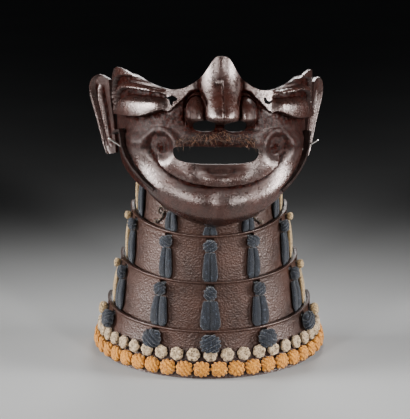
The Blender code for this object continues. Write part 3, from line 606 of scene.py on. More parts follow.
def relief(u, v, turn):
    """How far the skin stands off the plain bowl."""
    signed = u
    u, turn = np.abs(u), np.abs(turn)
    face = cheek_height(u, v, turn) * step(0.575, 0.60, v) + mouth_height(u, v) * (1 - step(0.59, 0.62, v))
    face *= 1 - step(84.0, 94.0, turn)
    nose = nose_height(u, v, signed)
    beside = np.where(nose > face, nose, face + np.minimum(nose, 0.0))
    return np.where((nose > 0) & (u < 0.12), face + nose, beside)


def mask_skin(turn, climb, lift=0.0):
    """A point of the mask's outer skin and the way out of it, about the ear line."""
    turn, climb = np.broadcast_arrays(np.asarray(turn, float), np.asarray(climb, float))
    point, out, u, v = plain_point(turn, climb)
    return point + out * (relief(u, v, turn) + lift)[..., None], out


# %% [markdown]
# ## The throat guard's plates
#
# Each plate is a strip of iron bent round the neck, and each hangs outside the one above it, so its
# upper rim shows as a fine line that is turned outwards a little. The rims are ovals that grow on the
# way down and climb a little towards their ends. The band under the chin closes on the first plate.

# %% Sizes of the plates
GUARD_WIDTH = 166 * MM
GUARD_DEPTH = 90 * MM
GUARD_HEIGHT = 117 * MM
GUARD_SPAN = 97.0
PLATE_WALL = 1.6 * MM
PLATE_OVERLAP = 8.0 * MM
RIM_TURN_OUT = 0.9 * MM
RIM_HEIGHT = 1.0 * MM
LACE_ROOM = 2.9 * MM
GAP = 0.35 * MM
# upper rims, as shares of the guard's height, half width and depth, and their climb at the ends
RIMS = (
    (1.000, 0.608, 0.716, 0.235),
    (0.839, 0.693, 0.763, 0.090),
    (0.568, 0.788, 0.847, 0.047),
    (0.284, 0.910, 0.930, 0.038),
    (0.000, 1.000, 1.000, 0.000),
)
PLATES = len(RIMS) - 1


def rim_shape(number):
    height, width, depth, climb = RIMS[number]
    return GUARD_WIDTH / 2 * width, GUARD_DEPTH * depth, GUARD_HEIGHT * height, GUARD_HEIGHT * climb


def plate_point(number, turn, share, lift=0.0):
    """A point of a plate's outer face about the ear line: share 0 at its rim, 1 at the next rim's height."""
    turn, share, lift = np.broadcast_arrays(*(np.asarray(a, float) for a in (turn, share, lift)))
    wide, deep, high, climb = rim_shape(number)
    next_wide, next_deep, next_high, next_climb = rim_shape(number + 1)
    if number + 1 < PLATES:
        next_wide -= PLATE_WALL + LACE_ROOM
        next_deep -= PLATE_WALL + LACE_ROOM
    angle = np.radians(turn)
    side = 1 - np.cos(np.minimum(np.pi / 2, np.abs(angle)))
    top, low = high + climb * side, next_high + next_climb * side
    width = wide + (next_wide - wide) * share + lift
    depth = deep + (next_deep - deep) * share + lift
    return np.stack([width * np.sin(angle), -depth * np.cos(angle), top + (low - top) * share], axis=-1)


def share_of(number, turn, drop):
    """What share of the way down a plate a drop is."""
    return drop / (plate_point(number, turn, 0.0)[..., 2] - plate_point(number, turn, 1.0)[..., 2])


def share_at(number, turn, level):
    """The share of the way down a plate at this height over the floor."""
    return share_of(number, turn, plate_point(number, turn, 0.0)[..., 2] - level)


def band_end(turn):
    """The height where the band under the chin meets the first plate."""
    turn = np.asarray(turn, float)
    level = mask_skin(turn, 0.0)[0][..., 2]
    return level - BAND_DROP + (BAND_DROP - BAND_DROP_SIDE) * side_share(turn)


print("rim heights in mm:", [round(rim_shape(k)[2] / MM, 1) for k in range(PLATES + 1)])

# %% Build the mask's wall
MASK_COLUMNS = 330
MASK_ROWS = 134


def lowest_nearby(height, rows, columns):
    """Each height's lowest neighbour within so many rows and columns."""
    padded = np.pad(height, ((columns, columns), (rows, rows)), mode="edge")
    shape = height.shape
    best = height.copy()
    for i in range(2 * columns + 1):
        for j in range(2 * rows + 1):
            if (i - columns) ** 2 / columns ** 2 + (j - rows) ** 2 / rows ** 2 <= 1.01:
                best = np.minimum(best, padded[i:i + shape[0], j:j + shape[1]])
    return best


def mask_rings():
    shares = np.linspace(-1, 1, MASK_COLUMNS + 1)
    turn = (MASK_SPAN * (0.5 * shares + 0.5 * shares ** 3))[:, None]
    climb = np.linspace(0, 1, MASK_ROWS + 1)[None, :]
    turn, climb = np.broadcast_arrays(turn, climb)
    point, out, u, v = plain_point(turn, climb)
    height = relief(u, v, turn)
    outer = point + out * height[..., None]
    inner = point + out * (lowest_nearby(height, 2, 3) - MASK_WALL)[..., None]
    back = np.array((Matrix.Translation(-CENTRE) @ mask_place()).inverted())
    one_turn = turn[:, 0]
    low = band_end(one_turn)
    guard_turn = one_turn + MASK_TURN
    share = share_at(0, guard_turn, low)
    foot_in = plate_point(0, guard_turn, share, GAP) @ back[:3, :3].T + back[:3, 3]
    foot_out = plate_point(0, guard_turn, share, GAP + 2 * MASK_WALL) @ back[:3, :3].T + back[:3, 3]
    bend = outer[:, 0] - out[:, 0] * BAND_TURN_IN
    bend[:, 2] = low + 0.35 * (outer[:, 0, 2] - low)
    bend_in = bend - out[:, 0] * MASK_WALL * 2
    band_out = [foot_out, (foot_out + bend) / 2, bend, (bend * 0.45 + outer[:, 0] * 0.55)]
    band_in = [foot_in, (foot_in + bend_in) / 2, bend_in, (bend_in * 0.45 + inner[:, 0] * 0.55)]
    outside = np.concatenate([np.stack(band_out, axis=1), outer], axis=1)
    inside = np.concatenate([np.stack(band_in, axis=1), inner], axis=1)
    return np.concatenate([outside, inside[:, ::-1]], axis=1)


def blurred(height, rows, columns, times=3):
    """The height smoothed over so many rows and columns."""
    for _ in range(times):
        for axis, reach in ((0, columns), (1, rows)):
            kept = np.pad(height, [(reach, reach) if k == axis else (0, 0) for k in (0, 1)], mode="edge")
            parts = [np.take(kept, range(k, k + height.shape[axis]), axis=axis) for k in range(2 * reach + 1)]
            height = sum(parts) / len(parts)
    return height


def mark_painted_shade(made):
    """Marks each point of the mask with how much shade is painted there, from 0 to 1: in hollows and valleys,
    beside and above the mouth, under the nose and the cheek edges, in the corner pits, on the jaw strip and
    below the mouth's middle.
    """
    turn, climb = (np.linspace(a, b, n) for a, b, n in ((-MASK_SPAN, MASK_SPAN, 191), (0.0, 1.0, 101)))
    turn, climb = np.broadcast_arrays(turn[:, None], climb[None, :])
    point, out, u, v = plain_point(turn, climb)
    height = relief(u, v, turn)
    # painted shade: each part below marks a place that lies back or lies under something, and the lacquer
    # darkens it
    lower = np.clip((blurred(height, 4, 4) - height) / (1.6 * MM), 0.0, 1.0)
    side = np.abs(u)
    flat = step(0.38, 0.46, v) * (1 - step(0.60, 0.66, v)) * step(0.34, 0.46, side) * 0.85
    upper_lip = step(0.475, 0.50, v) * (1 - step(0.585, 0.62, v)) * 0.85
    under_nose = step(0.58, 0.60, v) * (1 - step(0.640, 0.662, v)) * (1 - step(0.30, 0.40, side)) * 0.7
    under = (1 - step(-0.012, 0.004, v - CHEEK_EDGE(side))) * step(0.56, 0.60, v) * step(0.19, 0.27, side)
    between_folds = valleys(v, np.abs(turn)) * step(0.49, 0.58, side) * step(0.0, 0.01, v - CHEEK_EDGE(side))
    pit = np.exp(-(np.hypot((side - PIT_PLACE[0]) / PIT_SIZE[0], (v - PIT_PLACE[1]) / PIT_SIZE[1]) ** 3))
    jaw_strip = step(-0.004, 0.008, ring_gap(JAW_RING, side, v)) * (1 - step(0.50, 0.60, v)) * 0.9
    lip_middle = np.exp(-((u / 0.16) ** 2) - ((v - 0.36) / 0.03) ** 2) * 0.8
    parts = [lower, flat, upper_lip, under_nose, under * 0.9, between_folds, pit, jaw_strip, lip_middle]
    recess = np.maximum.reduce(parts).ravel()
    places = moved(point + out * height[..., None], mask_place()).reshape(-1, 3)
    tree = KDTree(len(places))
    for k, place in enumerate(places):
        tree.insert(place, k)
    tree.balance()
    mark_recess(made, recess[[tree.find(vertex.co)[1] for vertex in made.data.vertices]])


def capped_wall(name, rings, finish):
    """A wall from closed outlines whose ends are closed by strips of faces."""
    points, faces, marks = skin_of(rings)
    faces = faces[:-2]
    count, last = rings.shape[1], (rings.shape[0] - 1) * rings.shape[1]
    for base in (0, last):
        for k in range(count // 2 - 1):
            faces.append((base + k, base + k + 1, base + count - 2 - k, base + count - 1 - k))
    return piece_of(name, [(points, faces, marks)], finish)


mask_wall = capped_wall("mask_wall", moved(mask_rings(), mask_place()), russet)
print("mask wall:", len(mask_wall.data.polygons), "faces")

# %% [markdown]
# The openings are cut straight through from the front: the mouth, a nostril under each wing, and one
# small torn-looking hole at the inner end of each cheek pad. The last two differ, as on the real one.

# %% Cut the openings
MOUTH_WIDTH = 58.5 * MM
MOUTH_HEIGHT = 12.5 * MM
MOUTH_TOP = 0.497
MOUTH_ASIDE = 3.0 * MM
NOSTRIL_PLACE = (0.151, 0.614)
NOSTRIL_SIZE = (15.5 * MM, 8.5 * MM)
NOSTRILS_ASIDE = 1.0 * MM
LEFT_HOLE = (
    (-4.6, 1.6), (-1.4, 1.9), (0.8, 3.3), (2.2, 2.4), (4.4, 1.2), (3.6, -0.7),
    (1.4, -1.2), (0.6, -3.9), (-0.8, -3.2), (-1.5, -0.2),
)
RIGHT_HOLE = (
    (-4.0, 2.0), (-1.8, 2.2), (-1.1, 0.1), (1.2, -0.3), (3.4, 1.4), (2.2, -1.4), (0.4, -2.6),
    (-2.6, -1.4),
)
HOLE_PLACE = (0.480, 0.742)


def rounded_outline(middle, width, up, down, powers, count=32):
    """A rounded box in the mask's front plane, with its own room above and below the middle."""
    outline = []
    for i in range(count):
        t = 2 * math.pi * (i + 0.5) / count
        c, s = math.cos(t), math.sin(t)
        x = math.copysign(abs(c) ** powers[0], c) * width / 2
        z = math.copysign(abs(s) ** powers[1], s) * (up if s > 0 else down)
        outline.append((middle[0] + x, middle[1] + z))
    return outline


def cut_with(wall, cutter):
    """Takes a cutter's shape out of a wall. The cutter stays until the wall is made plain."""
    cut = wall.modifiers.new("cut", "BOOLEAN")
    cut.operation = "DIFFERENCE"
    cut.object = cutter
    return cutter


def cut_through(wall, outline, front, back):
    """Cuts an outline of (x, z) points through the wall from front to back, along the mask's depth."""
    rings = [[(x, y, z) for x, z in outline] for y in (back, front)]
    return cut_with(wall, piece_of("cutter", [skin_of(moved(rings, mask_place()))], russet))


def level_of(share):
    return MASK_BASE + share * MASK_HEIGHT


corner = level_of(MOUTH_TOP) - 0.3 * MOUTH_HEIGHT
up, down = 0.3 * MOUTH_HEIGHT, 0.7 * MOUTH_HEIGHT
outlines = [rounded_outline((-MOUTH_ASIDE, corner), MOUTH_WIDTH, up, down, (0.55, 0.6))]
for side in (-1, 1):
    middle = (side * NOSTRIL_PLACE[0] * MASK_WIDTH / 2 - NOSTRILS_ASIDE, level_of(NOSTRIL_PLACE[1]))
    half = NOSTRIL_SIZE[1] / 2
    outlines.append(rounded_outline(middle, NOSTRIL_SIZE[0], half, half, (0.7, 0.7), 24))
cutters = [cut_through(mask_wall, outline, -120 * MM, -48 * MM) for outline in outlines]
for side, shape in ((-1, LEFT_HOLE), (1, RIGHT_HOLE)):
    x0, z0 = side * HOLE_PLACE[0] * MASK_WIDTH / 2, level_of(HOLE_PLACE[1])
    outline = [(x0 + x * MM, z0 + z * MM) for x, z in shape]
    cutters.append(cut_through(mask_wall, outline, -120 * MM, -30 * MM))

mask = as_plain_mesh(mask_wall, "mask", russet)
for cutter in cutters:
    bpy.data.objects.remove(cutter)
mask.data.shade_smooth()
mask.data.set_sharp_from_angle(angle=math.radians(38))
mark_painted_shade(mask)
settle(mask, "russet_iron", "mask_bowl")
print("mask:", len(mask.data.polygons), "faces, with", len(cutters), "openings")

# %% [markdown]
# ## Ears
#
# Each ear is its own folded plate behind the cheek. From the front it is seen nearly edge on: a rolled
# outer rim, a dark valley, an inner ridge and the root against the mask.

# %% Ears
EAR_HEIGHT = 54 * MM
EAR_SPREADS = {-1: 13 * MM, 1: 8 * MM}
EAR_DEPTH = 23 * MM
EAR_WALL = 2.2 * MM
EAR_FOLD = 3.0 * MM
EAR_CLIMB = 5.0 * MM
EAR_TURN = 86.0
EAR_OUTLINE = curve_through((
    (0.00, 0.40), (0.05, 0.52), (0.12, 0.60), (0.24, 0.69), (0.38, 0.79), (0.56, 0.91),
    (0.72, 1.00), (0.84, 0.97), (0.92, 0.86), (0.97, 0.70), (1.00, 0.50),
))


def ear_fold(along, share):
    """The ear's folds from its root (0) to its rim (1): flap, valley, inner ridge, valley and rolled rim."""
    inner = np.sin(np.pi * np.clip((share - 0.08) / 0.80, 0.0, 1.0)) ** 0.5
    rim = 1.15 * bell(along, 0.93, 0.075)
    valley = -0.95 * bell(along, 0.76, 0.085) * inner
    ridge = 0.75 * bell(along, 0.58, 0.085) * inner
    hollow = -0.80 * bell(along, 0.38, 0.11) * inner
    return rim + valley + ridge + hollow


def climb_at(turn, height):
    """The climb where the mask's skin has that share of its height."""
    low, high = 0.0, 1.0
    for _ in range(24):
        middle = (low + high) / 2
        if bowl_row(np.array(turn), np.array(middle))[0] < height:
            low = middle
        else:
            high = middle
    return (low + high) / 2


def ear_rings(side, rows=90, steps=44):
    stand = EAR_SPREADS[side]
    across = np.array((side * EAR_DEPTH, -stand, 0.0))
    across /= np.linalg.norm(across)
    shares = np.linspace(0, 1, rows)
    roots = []
    for share in shares:
        level = MASK_BASE + 0.345 * MASK_HEIGHT + share * EAR_HEIGHT
        height = min((level - MASK_BASE) / MASK_HEIGHT, float(TOP_EDGE(EAR_TURN)))
        height = max(height, float(bowl_row(np.array(EAR_TURN), np.array(0.0))[0]))
        root, _ = mask_skin(side * EAR_TURN, climb_at(EAR_TURN, height), GAP + EAR_WALL / 2)
        roots.append((root[0], root[1], level))
    # the root runs past the folds of the cheek in one smooth line
    roots = np.array(roots)
    roots[:, :2] = blurred(roots[:, :2], 0, rows // 6)
    rings = []
    for share, root in zip(shares, roots):
        spread = float(EAR_OUTLINE(share))
        way = np.array((side * stand * spread, EAR_DEPTH * spread, 0.0))
        along = np.linspace(0, 1, steps)[:, None]
        middle = root + way * along + across * EAR_FOLD * ear_fold(along, share) * spread
        middle[:, 2] += EAR_CLIMB * along[:, 0] * (share - 0.5)
        rim = np.where(along > 0.93, 1 - 0.5 * ((along - 0.93) / 0.07) ** 2, 1.0)
        half = across * EAR_WALL / 2 * rim
        rings.append(np.concatenate([middle + half, (middle - half)[::-1]]))
    return np.array(rings)


SIDES = ((-1, "left"), (1, "right"))
for side, name in SIDES:
    rings = ear_rings(side)
    ear = capped_wall(name + "_ear", moved(rings, mask_place()), russet)
    half = rings.shape[1] // 2
    across, up = np.meshgrid(np.linspace(0, 1, half), np.linspace(0, 1, len(rings)))
    # painted shade: the ear's valleys get the recess mark, so the lacquer paints them darker
    groove = np.clip(0.40 - 2.2 * ear_fold(across, up), 0.0, 1.0)
    marks = np.concatenate([groove, groove[:, ::-1]], axis=1).ravel()
    mark_recess(ear, marks)
    settle(ear, "russet_iron", "ear_" + name)
print("ears stand out by", [round(v / MM, 1) for v in EAR_SPREADS.values()], "mm")

# %% [markdown]
# ## Cord plates and pegs
#
# The helmet's cord crosses under the chin. A dark plate stands along each jaw so that the cord can't
# slip, and a bright peg beside it holds the cord's turn.

# %% Cord plates
brown = lacquer("brown_lacquer", (0.004, 0.002, 0.0015), (0.012, 0.005, 0.004), 0.46, 0.08 * MM)
PLATE_STAND = 4.5 * MM
PLATE_THICK = 2.3 * MM
PLATE_FOOT = 0.9 * MM
PLATE_RUBBED = 0.82
# degrees round, share of the mask's height, share of the plate's stand
HOOK_LINE = (
    (80.0, 0.478, 0.90), (73.0, 0.502, 1.0), (66.5, 0.522, 1.0), (63.0, 0.490, 1.0), (60.5, 0.440, 0.95),
    (56.5, 0.380, 0.85), (51.0, 0.325, 0.70), (44.0, 0.270, 0.50), (37.0, 0.222, 0.30),
)


def hook_rings(side):
    feet = []
    for turn, height, _ in HOOK_LINE:
        point, out = mask_skin(side * turn, climb_at(turn, height), PLATE_FOOT)
        feet.append((np.array(point), np.array(out)))
    rings = []
    for k, (foot, out) in enumerate(feet):
        along = feet[min(k + 1, len(feet) - 1)][0] - feet[max(k - 1, 0)][0]
        across = np.cross(along / np.linalg.norm(along), out)
        across *= PLATE_THICK / 2 / np.linalg.norm(across)
        top = foot + out * PLATE_STAND * HOOK_LINE[k][2]
        rings.append([foot - across, foot + across, top + across, top - across])
    return rings


for side, name in SIDES:
    plate = piece_of(name + "_cord_plate", [skin_of(moved(hook_rings(side), mask_place()))], brown)
    # old and rubbed all over, so it shines less than the mask
    mark_recess(plate, np.full(len(plate.data.vertices), PLATE_RUBBED))
    edge = plate.modifiers.new("edge", "BEVEL")
    edge.width = 0.35 * MM
    edge.segments = 2
    settle(plate, "black_lacquer", "cord_hook_" + name)

# %% Pegs
PEG_RADIUS = 0.8 * MM
PEG_LENGTH = 14 * MM
PEG_PLACE = (71.0, 0.405)
PEG_LEAN = np.array((0.80, -0.25, 0.55))
silver = new_material("bright_silver", (0.80, 0.78, 0.74), 0.25, 1.0)
scratch = noise(silver, place_on(silver, scale=(1.0, 1.0, 0.2)), 2600.0, 3.0)
join(silver, ramp(silver, scratch, 0.16, 0.42, 0.3, 0.7), "Roughness")
tarnish = noise(silver, place_on(silver), 400.0)
join(silver, ramp(silver, tarnish, (0.50, 0.46, 0.40), (0.86, 0.84, 0.80), 0.3, 0.6), "Base Color")


def round_bar(path, radii, sides=16):
    """Rings of a round bar along a path of points."""
    path = np.asarray(path, float)
    ways = np.gradient(path, axis=0)
    rings = []
    for point, way, radius in zip(path, ways, radii):
        way = way / np.linalg.norm(way)
        across = np.cross(way, (0.1, 0.2, 1.0))
        across /= np.linalg.norm(across)
        second = np.cross(way, across)
        t = np.linspace(0, 2 * np.pi, sides, endpoint=False)[:, None]
        rings.append(point + radius * (np.cos(t) * across + np.sin(t) * second))
    return rings


for side, name in SIDES:
    foot, _ = mask_skin(side * PEG_PLACE[0], climb_at(*PEG_PLACE))
    lean = PEG_LEAN * (side, 1, 1) / np.linalg.norm(PEG_LEAN)
    share = np.array([0.0, 0.02, 0.3, 0.6, 0.9, 0.985, 1.0])
    path = np.array(foot) + lean * (-5 * MM + (PEG_LENGTH + 5 * MM) * share[:, None])
    radii = PEG_RADIUS * np.array([0.6, 0.95, 1.0, 1.0, 0.96, 0.85, 0.45])
    peg = piece_of(name + "_peg", [skin_of(moved(round_bar(path, radii), mask_place()))], silver)
    settle(peg, "peg_silver", "cord_peg_" + name)

# %% [markdown]
# ## Plates
#
# The plates are lacquered over a ground with a fine pebbled grain, like leather. On the real plates only
# the rims are smooth; here the grain covers the rims as well. The grain is a pattern of small cells, so
# it comes from the material. The turned-out rim is real shape, because it catches the light along its
# whole length.

# %% Grained lacquer and plates
grained = new_material("grained_plate", (0.06, 0.033, 0.027), 0.42)
shader_of(grained).inputs["Specular Tint"].default_value = (1.0, 0.84, 0.78, 1.0)
shader_of(grained).inputs["Specular IOR Level"].default_value = 0.30
where = place_on(grained)
pebbles = {"Vector": where, "Scale": 780.0, "Randomness": 1.0, "Smoothness": 0.6}
cells = add_node(grained, "ShaderNodeTexVoronoi", pebbles, feature="SMOOTH_F1")
rough_drift = noise(grained, where, 40.0, 3.0)
colour = ramp(grained, rough_drift, (0.012, 0.005, 0.0035), (0.030, 0.0125, 0.0085), 0.35, 0.65)
pale = ramp(grained, noise(grained, where, 700.0, 3.0), 0.0, 1.0, 0.55, 0.75)
join(grained, blend_colours(grained, pale, colour, (0.050, 0.026, 0.018)), "Base Color")
join(grained, ramp(grained, noise(grained, where, 300.0), 0.30, 0.50, 0.3, 0.7), "Roughness")
first = bump(grained, cells.outputs["Distance"], 0.36 * MM, 0.8)
join(grained, bump(grained, noise(grained, where, 1400.0, 2.0), 0.12 * MM, 0.6, first), "Normal")


def plate_rings(number, columns=144):
    last = number == PLATES - 1
    turned_out = RIM_TURN_OUT if number else 0.0
    turn = GUARD_SPAN * np.linspace(-1, 1, columns + 1)
    bottom = np.ones_like(turn) if last else 1.0 + share_of(number, turn, PLATE_OVERLAP)
    lip = share_of(number, turn, RIM_HEIGHT)
    outline = [
        (bottom, 0.0), (bottom * 0.7, 0.0), (bottom * 0.35, 0.0), (lip * 2.2, 0.0),
        (lip * 1.6, turned_out * 0.12), (lip * 1.2, turned_out * 0.55), (lip * 0.8, turned_out * 0.95),
        (lip * 0.35, turned_out), (lip * 0.08, turned_out * 0.85), (lip * 0.0, turned_out * 0.4),
        (lip * 0.0, -PLATE_WALL * 0.8), (lip * 0.12, -PLATE_WALL), (bottom * 0.35, -PLATE_WALL),
        (bottom, -PLATE_WALL),
    ]
    rings = np.stack([plate_point(number, turn, share, lift) for share, lift in outline], axis=1)
    return rings + np.array(CENTRE)


plates = []
for number in range(PLATES):
    plates.append(capped_wall(f"plate_{number + 1}", plate_rings(number), grained))
print("plates:", [len(p.data.polygons) for p in plates], "faces")

# %% [markdown]
# ## Lacing
#
# Each column is one flat silk braid doubled into a pair. It runs down the face of a plate, goes behind
# the next plate's rim, comes out through a hole just below that rim, and is knotted across itself
# there. The two strands of a pair are narrow at the knot and swell towards the next rim.

# %% Braided silk
def silk(name, dark, light, fleck, fleck_share=0.62):
    """Braided silk: ribs along the braid crossed by fine slanting threads, laid out on the strand's UV."""
    made = new_material(name, light, 0.8)
    shader_of(made).inputs["Sheen Weight"].default_value = 0.20
    shader_of(made).inputs["Sheen Roughness"].default_value = 0.4
    shader_of(made).inputs["Specular IOR Level"].default_value = 0.25
    along = place_on(made, "UV", (1.0 / (1.1 * MM), 9.0, 1.0))
    waves = {"Vector": along, "Scale": 1.0, "Distortion": 1.2, "Detail": 1.0}
    slant = add_node(made, "ShaderNodeTexWave", waves, wave_type="BANDS", bands_direction="DIAGONAL")
    waves.update({"Scale": 0.9, "Distortion": 0.8})
    ribs = add_node(made, "ShaderNodeTexWave", waves, wave_type="BANDS", bands_direction="Y")
    where = place_on(made)
    threads = noise(made, where, 800.0, 4.0, 0.75)
    colour = ramp(made, threads, dark, light, 0.36, 0.62)
    flecks = ramp(made, noise(made, where, 620.0, 3.0, 0.7), 0.0, 1.0, fleck_share, fleck_share + 0.12)
    join(made, blend_colours(made, flecks, colour, fleck), "Base Color")
    first = bump(made, slant.outputs["Fac"], 0.30 * MM, 0.8)
    second = bump(made, ribs.outputs["Fac"], 0.25 * MM, 0.6, first)
    join(made, bump(made, threads, 0.16 * MM, 0.6, second), "Normal")
    return made


blue_silk = silk("blue_silk", (0.001, 0.0014, 0.003), (0.0055, 0.008, 0.0145), (0.060, 0.072, 0.098), 0.57)
cream_silk = silk("cream_silk", (0.13, 0.08, 0.035), (0.46, 0.32, 0.16), (0.62, 0.50, 0.32))
print("silks:", blue_silk.name, cream_silk.name)

# %% Strands and knots
LACE_TURNS = (-80.0, -67.5, -30.5, 0.0, 30.0, 63.5, 77.0)
CREAM_LACES = (1, 7)
EDGE_WIDE = 0.68
EDGE_DEEP = 1.3
STRAND_THICK = 3.8 * MM
# a pair's width on each plate, and each plate's knots: width, height, thickness, strands to be seen
PAIR_WIDTHS = (11.5 * MM, 11.0 * MM, 14.5 * MM)
KNOTS = (
    None,
    (10.5 * MM, 8.8 * MM, 5.8 * MM, 3.6),
    (9.6 * MM, 10.0 * MM, 6.0 * MM, 3.6),
    (15.2 * MM, 13.6 * MM, 7.5 * MM, 4.6),
)
HOLE_SHARE = 0.10
# how wide a strand is on its way down one plate
STRAND_PROFILE = curve_through((
    (0.0, 0.62), (0.05, 0.72), (0.20, 0.80), (0.45, 0.93), (0.70, 1.0), (0.90, 0.93), (1.0, 0.84),
))


def plate_ways(number, turn, share):
    """Along the plate, down it, and out of it, at one place on its face."""
    here = plate_point(number, turn, share)
    along = plate_point(number, turn + 0.5, share) - plate_point(number, turn - 0.5, share)
    along[2] = 0.0
    along /= np.linalg.norm(along)
    down = plate_point(number, turn, share + 0.05) - here
    down /= np.linalg.norm(down)
    out = np.cross(along, down)
    angle = math.radians(turn)
    out = -out if out[0] * math.sin(angle) - out[1] * math.cos(angle) < 0 else out
    return along, down, out / np.linalg.norm(out)


def strand_rings(number, turn, rows, side, sides=14):
    """One strand: rows of (share of the way down, lift of its back, width, thickness, shift)."""
    rings = []
    t = np.linspace(0, 2 * np.pi, sides, endpoint=False)
    for share, back, width, thick, shift in rows:
        along, down, out = plate_ways(number, turn, share)
        middle = plate_point(number, turn, share, 0.0) + out * (back + thick / 2) + along * side * shift
        round_x = np.sign(np.cos(t)) * np.abs(np.cos(t)) ** 0.8 * width / 2
        round_y = np.sign(np.sin(t)) * np.abs(np.sin(t)) ** 0.8 * thick / 2
        rings.append(middle + round_x[:, None] * along + round_y[:, None] * out)
    return np.array(rings) + np.array(CENTRE)


def pair_skins(number, turn, full, deep, start):
    """The two strands that run down one plate, from under its knot to behind the next rim."""
    end = 1.0 + float(share_of(number, turn, 2.2 * MM))
    width = PAIR_WIDTHS[number] / 2 * full
    thick = STRAND_THICK * 0.86 * full * deep
    skins = []
    for side in (-1, 1):
        rows = []
        for w in np.linspace(0, 1, 18):
            share = start + (end - start) * w
            p = float(STRAND_PROFILE(w))
            tuck = float(step(0.80, 0.94, w))
            rows.append((
                share, GAP + 0.1 * MM, width * p * (1 - 0.25 * tuck),
                thick * (0.75 + 0.25 * math.sin(math.pi * min(1.0, w * 1.3))) * (1 - 0.42 * tuck),
                width * p * 0.50 * (1 - 0.15 * tuck),
            ))
        skins.append(skin_of(strand_rings(number, turn, rows, side)))
    return skins


def ball_angles(rows, steps):
    theta = np.linspace(0.0, np.pi, rows)[:, None]
    return theta, np.linspace(0, 2 * np.pi, steps, endpoint=False)[None, :]


def ball_skin(points):
    """The closed skin of a lump whose first and last rings are drawn in to small ends."""
    for end, beside in ((0, 1), (-1, -2)):
        small = (points[beside] - points[beside].mean(axis=0)) * 0.05
        points[end] = points[end].mean(axis=0) + small
    return skin_of(points)


def knot_skin(middle, along, down, out, size, slant, turns=4.2, rows=44, steps=60, squareness=0.80):
    """A knot of a braid wound slantwise over itself: a rounded lump with round ridges across it."""
    theta, phi = ball_angles(rows, steps)
    power = lambda value: np.sign(value) * np.abs(value) ** squareness
    a = power(np.sin(theta) * np.cos(phi))
    c = power(np.sin(theta) * np.sin(phi))
    b = power(np.cos(theta)) * np.ones_like(phi)
    across = (a * math.cos(slant) + b * math.sin(slant)) * turns / 2
    ridge = np.sqrt(np.clip(1 - (2 * (across - np.floor(across)) - 1) ** 2, 0, 1))
    swell = 0.68 + 0.32 * ridge
    w, h, d = size
    return ball_skin(
        middle + (a * swell * w / 2)[..., None] * along + (b * swell * h / 2)[..., None] * down
        + (c * swell * d / 2)[..., None] * out
    )


def knot_on_plate(number, turn, share, size, slant, turns):
    along, down, out = plate_ways(number, turn, share)
    middle = plate_point(number, turn, share) + out * (GAP + size[2] / 2) + np.array(CENTRE)
    return knot_skin(middle, along, down, out, size, slant, turns)


# %% Lace the columns
for index, turn in enumerate(LACE_TURNS):
    edge = index + 1 in CREAM_LACES
    full = EDGE_WIDE if edge else 1.0
    deep = EDGE_DEEP if edge else 1.0
    start = float(share_at(0, turn, float(band_end(turn - MASK_TURN)) - 1.0 * MM))
    skins = pair_skins(0, turn, full * 0.9, deep, start) if start < 0.9 else []
    for number in range(1, PLATES):
        width, tall, thick, strands = KNOTS[number]
        size = (width * full, tall * full, thick * full * deep)
        drop = (2.0 if number == PLATES - 1 else 2.8) * MM + size[1] / 2
        share = float(share_of(number, turn, drop))
        if number < PLATES - 1:
            under_knot = float(share_of(number, turn, size[1] / 2 + 0.4 * MM))
            skins += pair_skins(number, turn, full, deep, share + under_knot)
        slant = math.radians((52, -48, 60, -55)[(index + number) % 4])
        skins.append(knot_on_plate(number, turn, share, size, slant, strands))
        # the short way through the hole
        flat = (5 * MM * full, 2.0 * MM, 0.0)
        link = [(HOLE_SHARE, -(PLATE_WALL + 2.4 * MM), *flat), (HOLE_SHARE + 0.02, 0.6 * MM, *flat)]
        skins.append(skin_of(strand_rings(number, turn, link, 0)))
    lace = piece_of(f"lacing_{index + 1}", skins, cream_silk if edge else blue_silk, sharp=80.0)
    settle(lace, "cream_lace" if edge else "blue_lace", f"lace_{index + 1}")
print("columns of lacing:", len(LACE_TURNS))

# %% [markdown]
# ## Ties under the jaw
#
# On each side a small ring of cord holds the mask's lower edge to the top plate. From the ring one
# strand runs down to the next rim and ends there in a small knot, so nothing of it hangs free.

# %% The two ties
TIE_RADIUS = 0.75 * MM
RING_RADIUS = 2.9 * MM
# each tie's way over the top plate: degrees round, share of the way down
TIES = (
    ((-40.0, 0.46), (-38.5, 0.58), (-41.0, 0.76), (-45.5, 0.90)),
    ((35.0, 0.48), (35.5, 0.60), (38.5, 0.76), (43.0, 0.90)),
)
brown_cord = silk("brown_cord", (0.010, 0.006, 0.004), (0.075, 0.045, 0.026), (0.26, 0.19, 0.12), 0.56)
skins = []
for route in TIES:
    along, down, out = plate_ways(0, *route[0])
    middle = plate_point(0, *route[0], 1.6 * MM) + np.array(CENTRE)
    t = np.linspace(0, 2 * np.pi, 25)[:, None]
    ring = middle + RING_RADIUS * (np.cos(t) * along + np.sin(t) * down) + 0.6 * MM * np.sin(3 * t) * out
    skins.append(skin_of(round_bar(ring[:-1], np.full(24, TIE_RADIUS), sides=8)))
    turns = curve_through([(k, turn) for k, (turn, _) in enumerate(route)])
    shares = curve_through([(k, share) for k, (_, share) in enumerate(route)])
    k = np.linspace(0.15, len(route) - 1, 22)
    strand = plate_point(0, turns(k), shares(k), 1.3 * MM) + np.array(CENTRE)
    skins.append(skin_of(round_bar(strand, np.full(22, TIE_RADIUS), sides=8)))
    along, down, out = plate_ways(0, *route[-1])
    small = (3.6 * MM, 3.2 * MM, 3.0 * MM)
    skins.append(knot_skin(strand[-1], along, down, out, small, 0.9, 2.6, rows=14, steps=20))
ties = piece_of("jaw_ties", skins, brown_cord, sharp=80.0)
settle(ties, "blue_lace")
print("ties:", len(TIES), "of", len(ties.data.polygons), "faces in all")

# %% [markdown]
# ## Hem knots
#
# Two rows of silk knots close the hem: orange ones, wound like small balls, and above them cream ones
# tied as rosettes. A row is one knot repeated along the plate, so Geometry Nodes set it out: they
# spread points evenly along a line on the plate, put a knot on each, turn each a little by chance, and
# make the result real.

